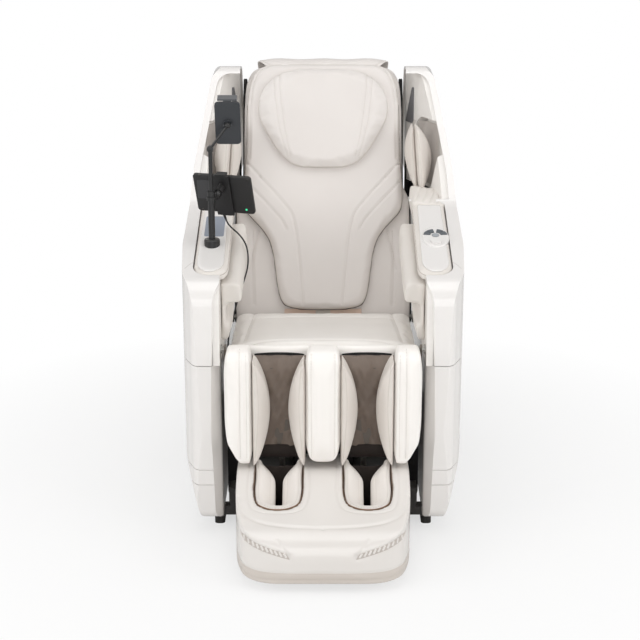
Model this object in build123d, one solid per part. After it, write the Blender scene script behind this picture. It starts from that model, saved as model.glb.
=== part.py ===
from build123d import *
import os
from math import cos, sin, tan, radians, pi

# Coin-operated massage armchair. Millimetres, +Z up, the sitter faces -Y.
# Origin: middle of the footprint, on the floor. Left and right are the sitter's: right is -X, left is +X.

os.makedirs("parts", exist_ok=True)

# ---- Driving dimensions ----
SEAT_HALF = 258.0          # half width of the seat cushion
SIDE_GAP = 14.0            # slot between the seat and a side housing
HOUSING_X = SEAT_HALF + SIDE_GAP   # inner plane of a side housing
HOUSING_BULGE = 120.0      # a housing's greatest thickness
FRONT_Y = -350.0           # front edge of the side housings
REAR_Y = 685.0             # rear edge of the side housings
SKIRT_Z = 45.0             # underside of the side housings
COVER_TOP_Z = 489.0        # top edge of the lower side covers
SHELL_TOP_Z = 1168.0       # top of the shoulder wings
PART_LINE = 2.0            # gap between an upper shell and its side cover
WALL = 6.0                 # moulded wall
FIT = 0.3                  # clearance between seated pieces
RUN = 0.05                 # radial clearance of a running fit
FOOT_H = 20.0              # height of a rubber foot

ARM_ANGLE = 15.0           # slope of the armrests
ARM_FRONT_Y = -290.0       # front of the armrest's straight top
ARM_FRONT_Z = 716.0        # height of the armrest there
ARM_REAR_Y = 110.0         # where the armrest meets the shoulder wing
ARM_PLATE_T = 22.0         # thickness of the armrest cover

LEAN = 22.0                # backrest's angle from the vertical, upright
BACK_FOOT_Y = 200.0        # foot of the backrest's front plane
BACK_FOOT_Z = 458.0
BACK_HALF = SEAT_HALF - 28     # half width of the backrest's rear shell
BACK_LENGTH = 745.0        # length of the backrest along its slope
BACK_DEPTH = 143.0         # depth of the rear shell
BACK_FACE = -22.0          # front rim of the rear shell, measured from the front plane
BACK_PAD_T = 45.0          # thickness of the underlay cushion

SEAT_FRONT_Y = -262.0
SEAT_FRONT_Z = 520.0       # top of the seat cushion at its front
SEAT_TILT = 7.7            # the seat falls towards the back
SEAT_T = 105.0             # thickness of the seat cushion
SEAT_PAN_T = 18.0

CALF_PIVOT_Y = -290.0
CALF_PIVOT_Z = 520.0
CALF_BACK_Y = -300.0       # rear of the calf pads, front of the calf frame
CALF_FRONT_Y = -392.0      # front of the calf pads
CALF_TOP_Z = 545.0
CALF_LOW_Z = 222.0
CALF_HALF = SEAT_HALF - 1      # half width of the calf rest
CALF_CENTRE_HALF = 42.0
CALF_FRAME_T = 32.0
CALF_FRAME_TOP_Z = 470.0
CALF_FRAME_LOW_Z = 232.0

FOOT_HALF = SEAT_HALF - 28     # half width of the footrest
FOOT_FRONT_Y = -680.0
FOOT_REAR_Y = -268.0
FOOT_TOP_Z = 212.0         # top of the footrest at its rear
FOOT_NOSE_Z = 152.0        # top of the footrest at its front
FOOT_LOW_Z = 17.0          # underside of the footrest
WELL_IN = 52.0             # inner edge of a foot well
WELL_OUT = FOOT_HALF - 48   # outer edge of a foot well
WELL_R = (WELL_OUT - WELL_IN) / 2 - 9    # front corners of a foot well
WELL_FRONT_Y = -540.0
WELL_FLOOR_Z = 70.0

STAND_X = -HOUSING_X - 29      # device stand on the right armrest
STAND_Y = -130.0
POST_R = 9.0
MAST_R = 5.5
POST_TOP_Z = 897.0
MAST_TOP_Z = 1028.0

LEFT, RIGHT = 1, -1
SIDES = {"left": LEFT, "right": RIGHT}


# ---- Helpers ----
def save(name, shape):
    shape.label = name
    export_step(shape, f"parts/{name}.step")


def outline(points, radius):
    """Closed outline with rounded corners, as a face."""
    return make_face(FilletPolyline(*points, radius=radius, close=True))


def across(face, x0, x1):
    """A Y-Z face extruded along X."""
    return extrude(Plane.YZ.offset(x0) * face, amount=x1 - x0, dir=(1, 0, 0))


def lengthwise(face, y0, y1):
    """An X-Z face extruded along Y."""
    return extrude(Plane.XZ.offset(-y0) * face, amount=y1 - y0, dir=(0, 1, 0))


def upright(face, z0, z1):
    """An X-Y face extruded along Z."""
    return extrude(Plane.XY.offset(z0) * face, amount=z1 - z0, dir=(0, 0, 1))


def block(x0, x1, y0, y1, z0, z1):
    return Pos((x0 + x1) / 2, (y0 + y1) / 2, (z0 + z1) / 2) * Box(x1 - x0, y1 - y0, z1 - z0)


def rod_x(x0, x1, y, z, radius):
    return Pos((x0 + x1) / 2, y, z) * Rot(0, 90, 0) * Cylinder(radius, abs(x1 - x0))


def on_side(shape, side):
    """Pieces are drawn on the left (+X) and mirrored for the right."""
    return shape if side == LEFT else mirror(shape, about=Plane.YZ)


def arm_z(y):
    """Height of the armrest's top surface."""
    return ARM_FRONT_Z + (y - ARM_FRONT_Y) * tan(radians(ARM_ANGLE))


def tube_between(start, end, radius):
    reach = Vector(*end) - Vector(*start)
    return Plane(origin=start, z_dir=reach) * extrude(Circle(radius), amount=reach.length)


BACK = Plane(
    origin=(0, BACK_FOOT_Y, BACK_FOOT_Z),
    x_dir=(1, 0, 0),
    z_dir=(0, -cos(radians(LEAN)), sin(radians(LEAN))),
)


def back_slab(face, n0, n1):
    """A face drawn on the backrest's front plane, extruded towards the sitter from n0 to n1."""
    return BACK * extrude(Pos(0, 0, n0) * face, amount=n1 - n0, dir=(0, 0, 1))


def back_point(x, up, out):
    return BACK.from_local_coords(Vector(x, up, out))


# ---- Side housings: three crossed outlines give the swelling, tapering form ----
HOUSING_MAX_X = HOUSING_X + HOUSING_BULGE
WING_X = BACK_HALF + 16    # inner edge of a wing, clear of the backrest
ARM_REAR_Z = arm_z(ARM_REAR_Y)
WING_RISE = SHELL_TOP_Z - ARM_REAR_Z

SIDE_OUTLINE = [
    (FRONT_Y + 12, SKIRT_Z),
    (FRONT_Y, 300),
    (FRONT_Y + 6, COVER_TOP_Z + 60),
    (FRONT_Y + 14, arm_z(FRONT_Y + 14)),
    (ARM_REAR_Y, ARM_REAR_Z),
    (ARM_REAR_Y + 155, ARM_REAR_Z + 0.4835 * WING_RISE),
    (ARM_REAR_Y + 300, SHELL_TOP_Z),
    (ARM_REAR_Y + 415, SHELL_TOP_Z - 20),
    (REAR_Y - 35, ARM_REAR_Z + 0.1646 * WING_RISE),
    (REAR_Y, 560),
    (REAR_Y - 70, 200),
    (REAR_Y - 130, SKIRT_Z),
]
SIDE_RADII = [30, 600, 500, 70, 90, 700, 50, 60, 500, 500, 500, 40]


def side_face(inset):
    return offset(outline(SIDE_OUTLINE, SIDE_RADII), amount=-inset) if inset else outline(SIDE_OUTLINE, SIDE_RADII)


def front_face(inset, inner):
    """Front view of the upper shell, open towards the seat by 'inner'; a hollow also opens below."""
    wing_x = WING_X - inner
    seat_x = HOUSING_X - inner
    low_z = COVER_TOP_Z + PART_LINE - inset
    points = [
        (seat_x, low_z),
        (HOUSING_MAX_X - 3 - inset, low_z),
        (HOUSING_MAX_X - inset, COVER_TOP_Z + 111),
        (HOUSING_MAX_X - 17 - inset, ARM_REAR_Z + 0.2226 * WING_RISE),
        (HOUSING_MAX_X - 62 - inset, SHELL_TOP_Z - 28),
        (HOUSING_MAX_X - 92 - inset, SHELL_TOP_Z - inset),
        (wing_x, SHELL_TOP_Z - inset),
        (wing_x, ARM_REAR_Z + 4),
        (seat_x, ARM_REAR_Z + 4),
    ]
    return outline(points, [0, 8, 900, 500, 40, 0, 0, 0, 0])


def plan_face(inset, inner):
    """Plan view of a housing: slimmer at the front and at the rear."""
    points = [
        (HOUSING_X + 26, FRONT_Y + inset),
        (HOUSING_MAX_X - 52 - inset, FRONT_Y + inset),
        (HOUSING_MAX_X - 19 - inset, FRONT_Y + 80),
        (HOUSING_MAX_X - inset, FRONT_Y + 380),
        (HOUSING_MAX_X - inset, 300),
        (HOUSING_MAX_X - 62 - inset, REAR_Y - inset),
        (WING_X - inner, REAR_Y - inset),
        (WING_X - inner, ARM_REAR_Y - 60),
        (HOUSING_X - inner, ARM_REAR_Y - 60),
        (HOUSING_X - inner, FRONT_Y + 42),
    ]
    return outline(points, [8, 38, 170, 900, 500, 40, 0, 0, 0, 30])


def housing(inset, inner, front):
    side = across(side_face(inset), 0, HOUSING_MAX_X + 50)
    plan = upright(plan_face(inset, inner), 0, SHELL_TOP_Z + 50)
    face = lengthwise(front, FRONT_Y - 50, REAR_Y + 50)
    return side & plan & face


def armrest_slab(inner_x, outer_x, low, high, front_gap):
    """A slab that follows the slope of the armrest, from 'low' to 'high' above its top surface."""
    y0 = ARM_FRONT_Y + 16 + front_gap
    y1 = ARM_REAR_Y - 8
    plan = outline(
        [(inner_x, y0), (outer_x, y0), (outer_x, y1), (inner_x, y1)],
        [40, 44, 6, 6],
    )
    profile = outline(
        [
            (y0, arm_z(y0) + low),
            (y0, arm_z(y0) + high),
            (y1, arm_z(y1) + high),
            (y1, arm_z(y1) + low),
        ],
        [2, 8, 2, 2],
    )
    return upright(plan, ARM_FRONT_Z - 200, ARM_REAR_Z + 200) & across(profile, inner_x - 1, outer_x + 1)


ARM_IN_X = HOUSING_X - 22      # inner edge of the armrest cover
ARM_OUT_X = HOUSING_X + 74     # outer edge of the armrest cover, inside the shell's rim
RIM_W = 20.0                   # width of the rim round the shoulder wing's mouth


def make_upper_shell():
    shell = housing(0, 0, front_face(0, 0))
    hollow = housing(WALL, 40, front_face(WALL, 40))
    recess = armrest_slab(ARM_IN_X - 30, ARM_OUT_X + FIT, -ARM_PLATE_T, 60, -FIT)
    ledge = armrest_slab(ARM_IN_X - 60, ARM_OUT_X + WALL, -ARM_PLATE_T - WALL, 60, -WALL)
    mouth = lengthwise(front_face(RIM_W, 60), ARM_REAR_Y - 60, ARM_REAR_Y + 390)
    mouth &= block(0, HOUSING_MAX_X, ARM_REAR_Y - 60, ARM_REAR_Y + 390, ARM_REAR_Z + 8, SHELL_TOP_Z)
    return shell - (hollow - ledge) - recess - mouth


def lower_front_face(inset, inner):
    points = [
        (HOUSING_X - inner, SKIRT_Z + inset),
        (HOUSING_X + 56 - inset, SKIRT_Z + inset),
        (HOUSING_MAX_X - 14 - inset, 222),
        (HOUSING_MAX_X - 15 - inset, 330),
        (HOUSING_MAX_X - 12 - inset, COVER_TOP_Z - inset),
        (HOUSING_X - inner, COVER_TOP_Z - inset),
    ]
    return outline(points, [0, 24, 160, 500, 3, 0])


SEAM_Z = (150.0, 194.0)    # the two horizontal seams of a side cover
SEAM_W = 2.4
SEAM_D = 3.0


def make_side_cover():
    cover = housing(0, 0, lower_front_face(0, 0)) - housing(WALL, -WALL, lower_front_face(WALL, -WALL))
    cover -= block(HOUSING_X + 20, HOUSING_X + 45, FRONT_Y + 60, REAR_Y - 190, SKIRT_Z - 1, SKIRT_Z + WALL + 1)
    for z in SEAM_Z:
        band = block(HOUSING_X - 1, HOUSING_MAX_X + 50, FRONT_Y - 50, REAR_Y + 50, z - SEAM_W / 2, z + SEAM_W / 2)
        cover -= band - housing(SEAM_D, 2, lower_front_face(SEAM_D, 2))
    return cover


# ---- Inner liner: closes the arm's inner side and forms the scooped shoulder wing ----
WING_LOW_Z = ARM_REAR_Z + 6
WING_SECTIONS = [
    # height, rim x, rim y, foot x, foot y
    (WING_LOW_Z, HOUSING_MAX_X - 40, ARM_REAR_Y - 22, WING_X + 6, 392),
    (ARM_REAR_Z + 0.5125 * WING_RISE, HOUSING_MAX_X - 54, ARM_REAR_Y + 150, WING_X + 6, 440),
    (SHELL_TOP_Z - WALL, HOUSING_MAX_X - 98, ARM_REAR_Y + 290, WING_X + 6, 505),
]
BAY_LOW_Z = WING_LOW_Z - 8     # lower and upper end of the shoulder bay
BAY_TOP_Z = SHELL_TOP_Z - 141
BAY_Z = (BAY_LOW_Z + BAY_TOP_Z) / 2
BAY_H = BAY_TOP_Z - BAY_LOW_Z
BAY_W = 176.0
BAY_D = 26.0
LEAF_T = 12.0
LEAF_HALF_H = BAY_H / 2 - 7


def wing_edges(z):
    """Front and rear end of the wing's scooped inner wall at a height."""
    pair = WING_SECTIONS[:2] if z < WING_SECTIONS[1][0] else WING_SECTIONS[1:]
    share = (z - pair[0][0]) / (pair[1][0] - pair[0][0])
    rim_x, rim_y, foot_x, foot_y = (a + (b - a) * share for a, b in zip(pair[0][1:], pair[1][1:]))
    return Vector(rim_x, rim_y, z), Vector(foot_x, foot_y, z)


def wing_wall(z):
    """Plane that touches the scooped inner wall of the wing, facing the sitter's shoulder."""
    rim, foot = wing_edges(z)
    rim_up, foot_up = wing_edges(z + 40)
    along = (rim - foot).normalized()
    rise = (rim_up + foot_up) - (rim + foot)
    return Plane(origin=(rim + foot) * 0.5, x_dir=along, z_dir=along.cross(rise))


def make_inner_liner():
    inset = WALL + FIT
    hollow = housing(inset, 0, front_face(inset, 0))
    sections = []
    for z, rim_x, rim_y, foot_x, foot_y in WING_SECTIONS:
        corners = [
            (rim_x, rim_y),
            (foot_x, foot_y),
            (foot_x, REAR_Y - 30),
            (HOUSING_MAX_X + 20, REAR_Y - 30),
            (HOUSING_MAX_X + 20, rim_y),
        ]
        sections.append(Pos(0, 0, z) * make_face(Polyline(*corners, close=True)))
    wing = loft(sections, ruled=True) & housing(inset, 0, front_face(inset, 0))
    panel_outline = across(side_face(inset), HOUSING_X + FIT, HOUSING_X + 18)
    panel = panel_outline & block(HOUSING_X, HOUSING_X + 20, FRONT_Y, REAR_Y, COVER_TOP_Z + FIT, ARM_REAR_Z - 2)
    panel -= armrest_slab(ARM_IN_X - 60, ARM_OUT_X + 60, -ARM_PLATE_T - WALL - FIT, 90, -WALL - FIT)
    joint_web = block(HOUSING_X + FIT, HOUSING_X + 18, 330, 600, ARM_REAR_Z - 20, WING_LOW_Z + 30)
    bay_plane = wing_wall(BAY_Z)
    bay = bay_plane * Pos(0, 0, -BAY_D) * extrude(RectangleRounded(BAY_W, BAY_H, 40), amount=BAY_D + 40)
    liner = (wing + panel + joint_web) & (hollow + panel)
    return liner - bay - speaker_wedge(FIT, -SPEAKER_D - FIT, 30)


def make_shoulder_airbags():
    plane = wing_wall(BAY_Z)
    inset = WALL + 2 * FIT
    room = housing(inset, 0, front_face(inset, 0))
    leaves = []
    for shift, half, depth in ((24, 42, -BAY_D + FIT), (-32, 50, -BAY_D + LEAF_T + 2 * FIT)):
        top, low = (0, LEAF_HALF_H), (0, -LEAF_HALF_H)
        leaf = ThreePointArc(low, (half, 0), top) + ThreePointArc(top, (-half, 0), low)
        leaves.append(plane * Pos(shift, 0, depth) * extrude(make_face(leaf), amount=LEAF_T) & room)
    return Compound(children=leaves)


SPEAKER_Z = SHELL_TOP_Z - 124
SPEAKER_H = 104.0
SPEAKER_D = 5.0


def speaker_wedge(grow, low, high):
    """A narrow wedge standing in the wing's inner wall, point up."""
    foot, tip = 4 - SPEAKER_H / 2, 4 + SPEAKER_H / 2
    wedge = outline([(-76, foot), (-26, foot), (-56, tip), (-66, tip)], [4, 10, 4, 4])
    face = offset(wedge, amount=grow) if grow else wedge
    return wing_wall(SPEAKER_Z) * Pos(0, 0, low) * extrude(face, amount=high - low)


def make_speaker():
    return speaker_wedge(0, -SPEAKER_D, 2)


# ---- Armrests ----
def make_armrest_cover():
    cover = armrest_slab(ARM_IN_X, ARM_OUT_X, -ARM_PLATE_T + FIT, 0, 0)
    return cover


SLEEVE_IN_X = HOUSING_X - 58   # inner face of the arm cushion
LIP_IN_X = HOUSING_X - 26      # inner face of the lip below the hand pocket
SLEEVE_BACK = 9.0          # thickness of the pocket's back wall
SLEEVE_Y0 = ARM_FRONT_Y + 26
SLEEVE_Y1 = 60.0
SLEEVE_Z = ARM_FRONT_Z - ARM_PLATE_T - 3
POCKET = (56.0, 112.0)     # depth of the pocket's roof and floor below the top of the sleeve
SLEEVE_H = 158.0


def make_arm_sleeve():
    outer = HOUSING_X - FIT
    profile = outline(
        [
            (outer, SLEEVE_Z),
            (SLEEVE_IN_X, SLEEVE_Z),
            (SLEEVE_IN_X + 3, SLEEVE_Z - POCKET[0]),
            (outer - SLEEVE_BACK, SLEEVE_Z - POCKET[0]),
            (outer - SLEEVE_BACK, SLEEVE_Z - POCKET[1]),
            (LIP_IN_X, SLEEVE_Z - POCKET[1]),
            (LIP_IN_X + 4, SLEEVE_Z - SLEEVE_H),
            (outer, SLEEVE_Z - SLEEVE_H),
        ],
        [1, 18, 14, 6, 6, 12, 10, 1],
    )
    length = (SLEEVE_Y1 - SLEEVE_Y0) / cos(radians(ARM_ANGLE))
    slope = (0, cos(radians(ARM_ANGLE)), sin(radians(ARM_ANGLE)))
    return extrude(Plane.XZ.offset(-SLEEVE_Y0) * profile, amount=length, dir=slope)


KEYPAD_Y = -92.0
ARM = Plane(
    origin=(HOUSING_X + 36, KEYPAD_Y, arm_z(KEYPAD_Y)),
    x_dir=(1, 0, 0),
    z_dir=(0, -sin(radians(ARM_ANGLE)), cos(radians(ARM_ANGLE))),
)
KEYPAD_H = 9.0
KEY_R_IN = 15.0
KEY_R_OUT = 33.0
KEY_T = 4.0
KEY_GAP = 0.6
KEY_TRAVEL = 1.0
KEY_SPANS = {
    "key_back_down": (6, 42),
    "key_back_up": (46, 80),
    "key_legs_up": (100, 134),
    "key_legs_down": (138, 174),
}
KEY_FAN_Y = 6.0
START_KEY_R = 9.5


def key_sector(start, end, grow):
    r0, r1 = KEY_R_IN - grow, KEY_R_OUT + grow
    side = grow / r1 * 180 / pi
    a0, a1 = start - side, end + side
    mid = (a0 + a1) / 2

    def at(r, a):
        return (r * cos(radians(a)), r * sin(radians(a)))

    edges = (
        ThreePointArc(at(r0, a0), at(r0, mid), at(r0, a1))
        + Line(at(r0, a1), at(r1, a1))
        + ThreePointArc(at(r1, a1), at(r1, mid), at(r1, a0))
        + Line(at(r1, a0), at(r0, a0))
    )
    return Pos(0, KEY_FAN_Y) * make_face(edges)


def make_keypad_housing():
    body = extrude(Ellipse(37, 56), amount=KEYPAD_H)
    body = fillet(body.edges().group_by(Axis.Z)[-1], 4)
    body += Pos(0, -30, 0) * Cylinder(15, KEYPAD_H + 5, align=(Align.CENTER, Align.CENTER, Align.MIN))
    floor = KEYPAD_H - KEY_T - KEY_TRAVEL
    for start, end in KEY_SPANS.values():
        body -= Pos(0, 0, floor) * extrude(key_sector(start, end, KEY_GAP), amount=20)
    body -= Pos(0, KEY_FAN_Y, floor) * extrude(Circle(START_KEY_R + KEY_GAP), amount=20)
    return ARM * Pos(0, 0, FIT) * body


def make_keys():
    keys = {}
    low = KEYPAD_H - KEY_T + 0.2
    for name, (start, end) in KEY_SPANS.items():
        keys[name] = ARM * Pos(0, 0, low + FIT) * extrude(key_sector(start, end, 0), amount=KEY_T + 1)
    keys["key_start"] = ARM * Pos(0, KEY_FAN_Y, low + FIT) * extrude(Circle(START_KEY_R), amount=KEY_T + 1.5)
    return keys


# ---- Base ----
RAIL_X = SEAT_HALF - 18    # steel side rails
RAIL_W = 40.0
RAIL_Z = (60.0, 100.0)
RAIL_Y = (-252.0, 520.0)
CROSS_Y = (-235.0, 120.0, 487.0)
CROSS_W = 34.0
LEG_Y = (-180.0, 130.0)
LEG_HALF = 17.0
SEAT_REAR_Y = 160.0
PAN_FRONT_Y = SEAT_FRONT_Y + 24
FLOOR_PAN_T = 3.0
FOOT_X = HOUSING_X + 14    # rubber feet, under the inner edge of the housings
FOOT_W = 28.0
FOOT_L = 60.0
FOOT_Y = (RAIL_Y[0] + 17, RAIL_Y[1] - 40)
BRACKET_OUT_X = HOUSING_X + 30
WHEEL_R = 32.0
WHEEL_W = 24.0
WHEEL_X = RAIL_X - 37
WHEEL_Y = RAIL_Y[1] + 24
WHEEL_Z = WHEEL_R + 4
AXLE_R = 5.0
WHEEL_BRACKET_T = 6.0


def seat_height(y, drop):
    """Height of a plane parallel to the seat's top, 'drop' below it."""
    return SEAT_FRONT_Z - (y - SEAT_FRONT_Y) * tan(radians(SEAT_TILT)) - drop


def both_ways(x0, x1, *rest):
    """The same block on both sides of the middle."""
    return block(x0, x1, *rest) + block(-x1, -x0, *rest)


def make_base_frame():
    rail_low, rail_high = RAIL_Z
    frame = both_ways(RAIL_X - RAIL_W / 2, RAIL_X + RAIL_W / 2, *RAIL_Y, *RAIL_Z)
    for y in CROSS_Y:
        frame += block(-RAIL_X, RAIL_X, y - CROSS_W / 2, y + CROSS_W / 2, rail_low, rail_high - 4)
    frame += block(-RAIL_X, RAIL_X, CROSS_Y[0], CROSS_Y[-1], rail_low, rail_low + FLOOR_PAN_T)
    for y in LEG_Y:
        top = seat_height(y + LEG_HALF, SEAT_T + SEAT_PAN_T) - FIT
        frame += both_ways(RAIL_X - 18, RAIL_X + 8, y - LEG_HALF, y + LEG_HALF, rail_high - 1, top)
    for y in FOOT_Y:
        frame += both_ways(RAIL_X - 4, RAIL_X + 19, y - 17, y + 17, FOOT_H, rail_low + 1)
        frame += both_ways(RAIL_X - 4, BRACKET_OUT_X, y - 17, y + 17, FOOT_H, SKIRT_Z - FIT)
    plate_x = WHEEL_X + WHEEL_W / 2 + 4
    frame += both_ways(
        plate_x, plate_x + WHEEL_BRACKET_T, RAIL_Y[1] - 40, WHEEL_Y + 12, WHEEL_Z - 12, rail_low + 12
    )
    axles = rod_x(WHEEL_X - WHEEL_W / 2 - 4, plate_x + 1, WHEEL_Y, WHEEL_Z, AXLE_R)
    heads = rod_x(WHEEL_X - WHEEL_W / 2 - 5, WHEEL_X - WHEEL_W / 2 - 1, WHEEL_Y, WHEEL_Z, AXLE_R + 3)
    frame += axles + heads
    frame += mirror(axles + heads, about=Plane.YZ)
    inlet = block(128, 158, CROSS_Y[-1] + CROSS_W / 2 - 12, CROSS_Y[-1] + CROSS_W / 2 + 1, 66, 88)
    return frame - inlet


def make_feet():
    foot = RectangleRounded(FOOT_W, FOOT_L, 10)
    feet = [
        Pos(side * FOOT_X, y, 0) * extrude(foot, amount=FOOT_H)
        for side in (LEFT, RIGHT)
        for y in FOOT_Y
    ]
    return Compound(children=feet)


def make_wheel(side):
    wheel = Cylinder(WHEEL_R, WHEEL_W)
    wheel = fillet(wheel.edges().filter_by(GeomType.CIRCLE), 5)
    for face_z in (-WHEEL_W / 2, WHEEL_W / 2 - 6):
        ring = Pos(0, 0, face_z) * (Circle(20) - Circle(11))
        wheel -= extrude(ring, amount=6)
    wheel -= Cylinder(AXLE_R + RUN, WHEEL_W + 2)
    return Pos(side * WHEEL_X, WHEEL_Y, WHEEL_Z) * Rot(0, 90, 0) * wheel


def make_seat_pan():
    half = SEAT_HALF - 10

    def slab(drop_top, drop_low, edge):
        y0, y1 = PAN_FRONT_Y + edge, SEAT_REAR_Y + 5 - edge
        points = [
            (y0, seat_height(y0, drop_top)),
            (y1, seat_height(y1, drop_top)),
            (y1, seat_height(y1, drop_low)),
            (y0, seat_height(y0, drop_low)),
        ]
        return across(make_face(Polyline(*points, close=True)), -half + edge, half - edge)

    return slab(SEAT_T + FIT, SEAT_T + SEAT_PAN_T, 0) - slab(SEAT_T + 3, SEAT_T + SEAT_PAN_T + 5, 3)


def make_seat_cushion():
    profile = outline(
        [
            (SEAT_FRONT_Y, seat_height(SEAT_FRONT_Y, SEAT_T)),
            (SEAT_FRONT_Y, SEAT_FRONT_Z),
            (SEAT_REAR_Y, seat_height(SEAT_REAR_Y, 0)),
            (SEAT_REAR_Y, seat_height(SEAT_REAR_Y, SEAT_T)),
        ],
        [12, 42, 30, 8],
    )
    plan = outline(
        [
            (-SEAT_HALF, SEAT_FRONT_Y),
            (SEAT_HALF, SEAT_FRONT_Y),
            (SEAT_HALF, SEAT_REAR_Y),
            (-SEAT_HALF, SEAT_REAR_Y),
        ],
        [24, 24, 10, 10],
    )
    return across(profile, -SEAT_HALF, SEAT_HALF) & upright(plan, 200, 700)


PIN_R = 8.0
CALF_PIN_R = 6.0
BACK_PIVOT_OUT = -60.0     # recline pivot, behind the backrest's front plane
BACK_PIVOT = back_point(0, 0, BACK_PIVOT_OUT)
EAR_T = 6.0
EAR_X = CALF_HALF + 0.5


def make_pivot_pins():
    wall = HOUSING_X - FIT
    y, z = BACK_PIVOT.Y, BACK_PIVOT.Z
    pins = rod_x(BACK_HALF - 20, wall, y, z, PIN_R) + rod_x(wall - 5, wall, y, z, PIN_R + 9)
    calf_pin = rod_x(EAR_X - 0.2, HOUSING_X, CALF_PIVOT_Y, CALF_PIVOT_Z, CALF_PIN_R)
    calf_pin += rod_x(HOUSING_X - 3, HOUSING_X, CALF_PIVOT_Y, CALF_PIVOT_Z, CALF_PIN_R + 6)
    pieces = [pins, calf_pin, mirror(pins, about=Plane.YZ), mirror(calf_pin, about=Plane.YZ)]
    return Compound(children=pieces)


def make_control_box():
    box = block(-110, 110, 70, 200, RAIL_Z[0] + FLOOR_PAN_T + FIT, 150)
    box -= block(-111, 111, 100, 140, 0, RAIL_Z[1] - 4 + FIT)
    return fillet(box.edges().filter_by(Axis.Z), 6)


def make_air_pump():
    y, z, radius = -80.0, 120.0, 52.0
    pump = rod_x(-85, 85, y, z, radius)
    pump = fillet(pump.edges().filter_by(GeomType.CIRCLE), 8)
    for x in (-60, 60):
        pump += block(x - 9, x + 9, y - 44, y + 44, RAIL_Z[0] + FLOOR_PAN_T + FIT, z)
    pump += rod_x(85, 100, y, z + 20, 7)
    return pump


# ---- Backrest ----
SHELL_BACK = BACK_FACE - BACK_DEPTH    # rear of the backrest shell
RAIL_R = 12.5              # guide rails of the massage carriage
GUIDE_X = BACK_HALF - 65
GUIDE_OUT = -112.0
CUSHION_HALF = BACK_HALF - 5
PAD_FACE = BACK_FACE + FIT + BACK_PAD_T


def back_outline(half, low, high, low_r, high_r):
    return outline([(-half, low), (half, low), (half, high), (-half, high)], [low_r, low_r, high_r, high_r])


def make_back_shell():
    low = -20.0
    solid = extrude(back_outline(BACK_HALF, low, BACK_LENGTH, 24, 70), amount=-BACK_DEPTH, dir=(0, 0, 1))
    solid = Pos(0, 0, BACK_FACE) * solid
    solid = fillet(solid.edges().group_by(Axis.Z)[0], 36)
    inner = back_outline(BACK_HALF - WALL, low + WALL, BACK_LENGTH - WALL, 18, 64)
    hollow = Pos(0, 0, BACK_FACE + 1) * extrude(inner, amount=-(BACK_DEPTH - WALL + 1), dir=(0, 0, 1))
    hollow = fillet(hollow.edges().group_by(Axis.Z)[0], 30)
    solid -= hollow
    for side in (LEFT, RIGHT):
        for end in (low + WALL - 1, BACK_LENGTH - WALL + 1 - 22):
            seat = Pos(side * GUIDE_X, end + 11, GUIDE_OUT) * Rot(90, 0, 0) * Cylinder(RAIL_R + 8, 22)
            solid += seat
            solid -= Pos(side * GUIDE_X, end + 11 + (3 if end < 0 else -3), GUIDE_OUT) * Rot(90, 0, 0) * Cylinder(
                RAIL_R, 22
            )
        boss = Pos(side * (BACK_HALF - 9), 0, BACK_PIVOT_OUT) * Rot(0, 90, 0) * Cylinder(PIN_R + 9, 18)
        hole = Pos(side * (BACK_HALF - 9), 0, BACK_PIVOT_OUT) * Rot(0, 90, 0) * Cylinder(PIN_R + RUN, 40)
        solid += boss
        solid -= hole
    for row in range(7):
        slot = Pos(0, 110 + 16 * row, SHELL_BACK) * Box(170, 6, 4 * WALL)
        solid -= slot
    return BACK * solid


GUIDE_LOW = -20.0 + WALL - 1 + 3
GUIDE_HIGH = BACK_LENGTH - WALL + 1 - 3


def make_guide_rail(side):
    rail = Cylinder(RAIL_R, GUIDE_HIGH - GUIDE_LOW) - Cylinder(RAIL_R - 2.5, GUIDE_HIGH - GUIDE_LOW + 2)
    return BACK * Pos(side * GUIDE_X, (GUIDE_LOW + GUIDE_HIGH) / 2, GUIDE_OUT) * Rot(90, 0, 0) * rail


CARRIAGE_UP = BACK_LENGTH / 2 - 12.5   # carriage at rest, up the backrest
CARRIAGE_H = 124.0
CARRIAGE_N = (-141.0, -90.0)
ARM_X = 70.0               # kneading arms, either side of the middle
ARM_T = 12.0
ARM_REACH = 74.0           # roller axles above and below the arm's pivot
ARM_OUT = -72.0
ARM_PIN_R = 6.0
ROLLER_R = 37.0
ROLLER_W = 30.0
ROLLER_AXLE_R = 5.0
LUG_T = 6.0


def local_rod(x0, x1, up, out, radius):
    return Pos((x0 + x1) / 2, up, out) * Rot(0, 90, 0) * Cylinder(radius, abs(x1 - x0))


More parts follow.
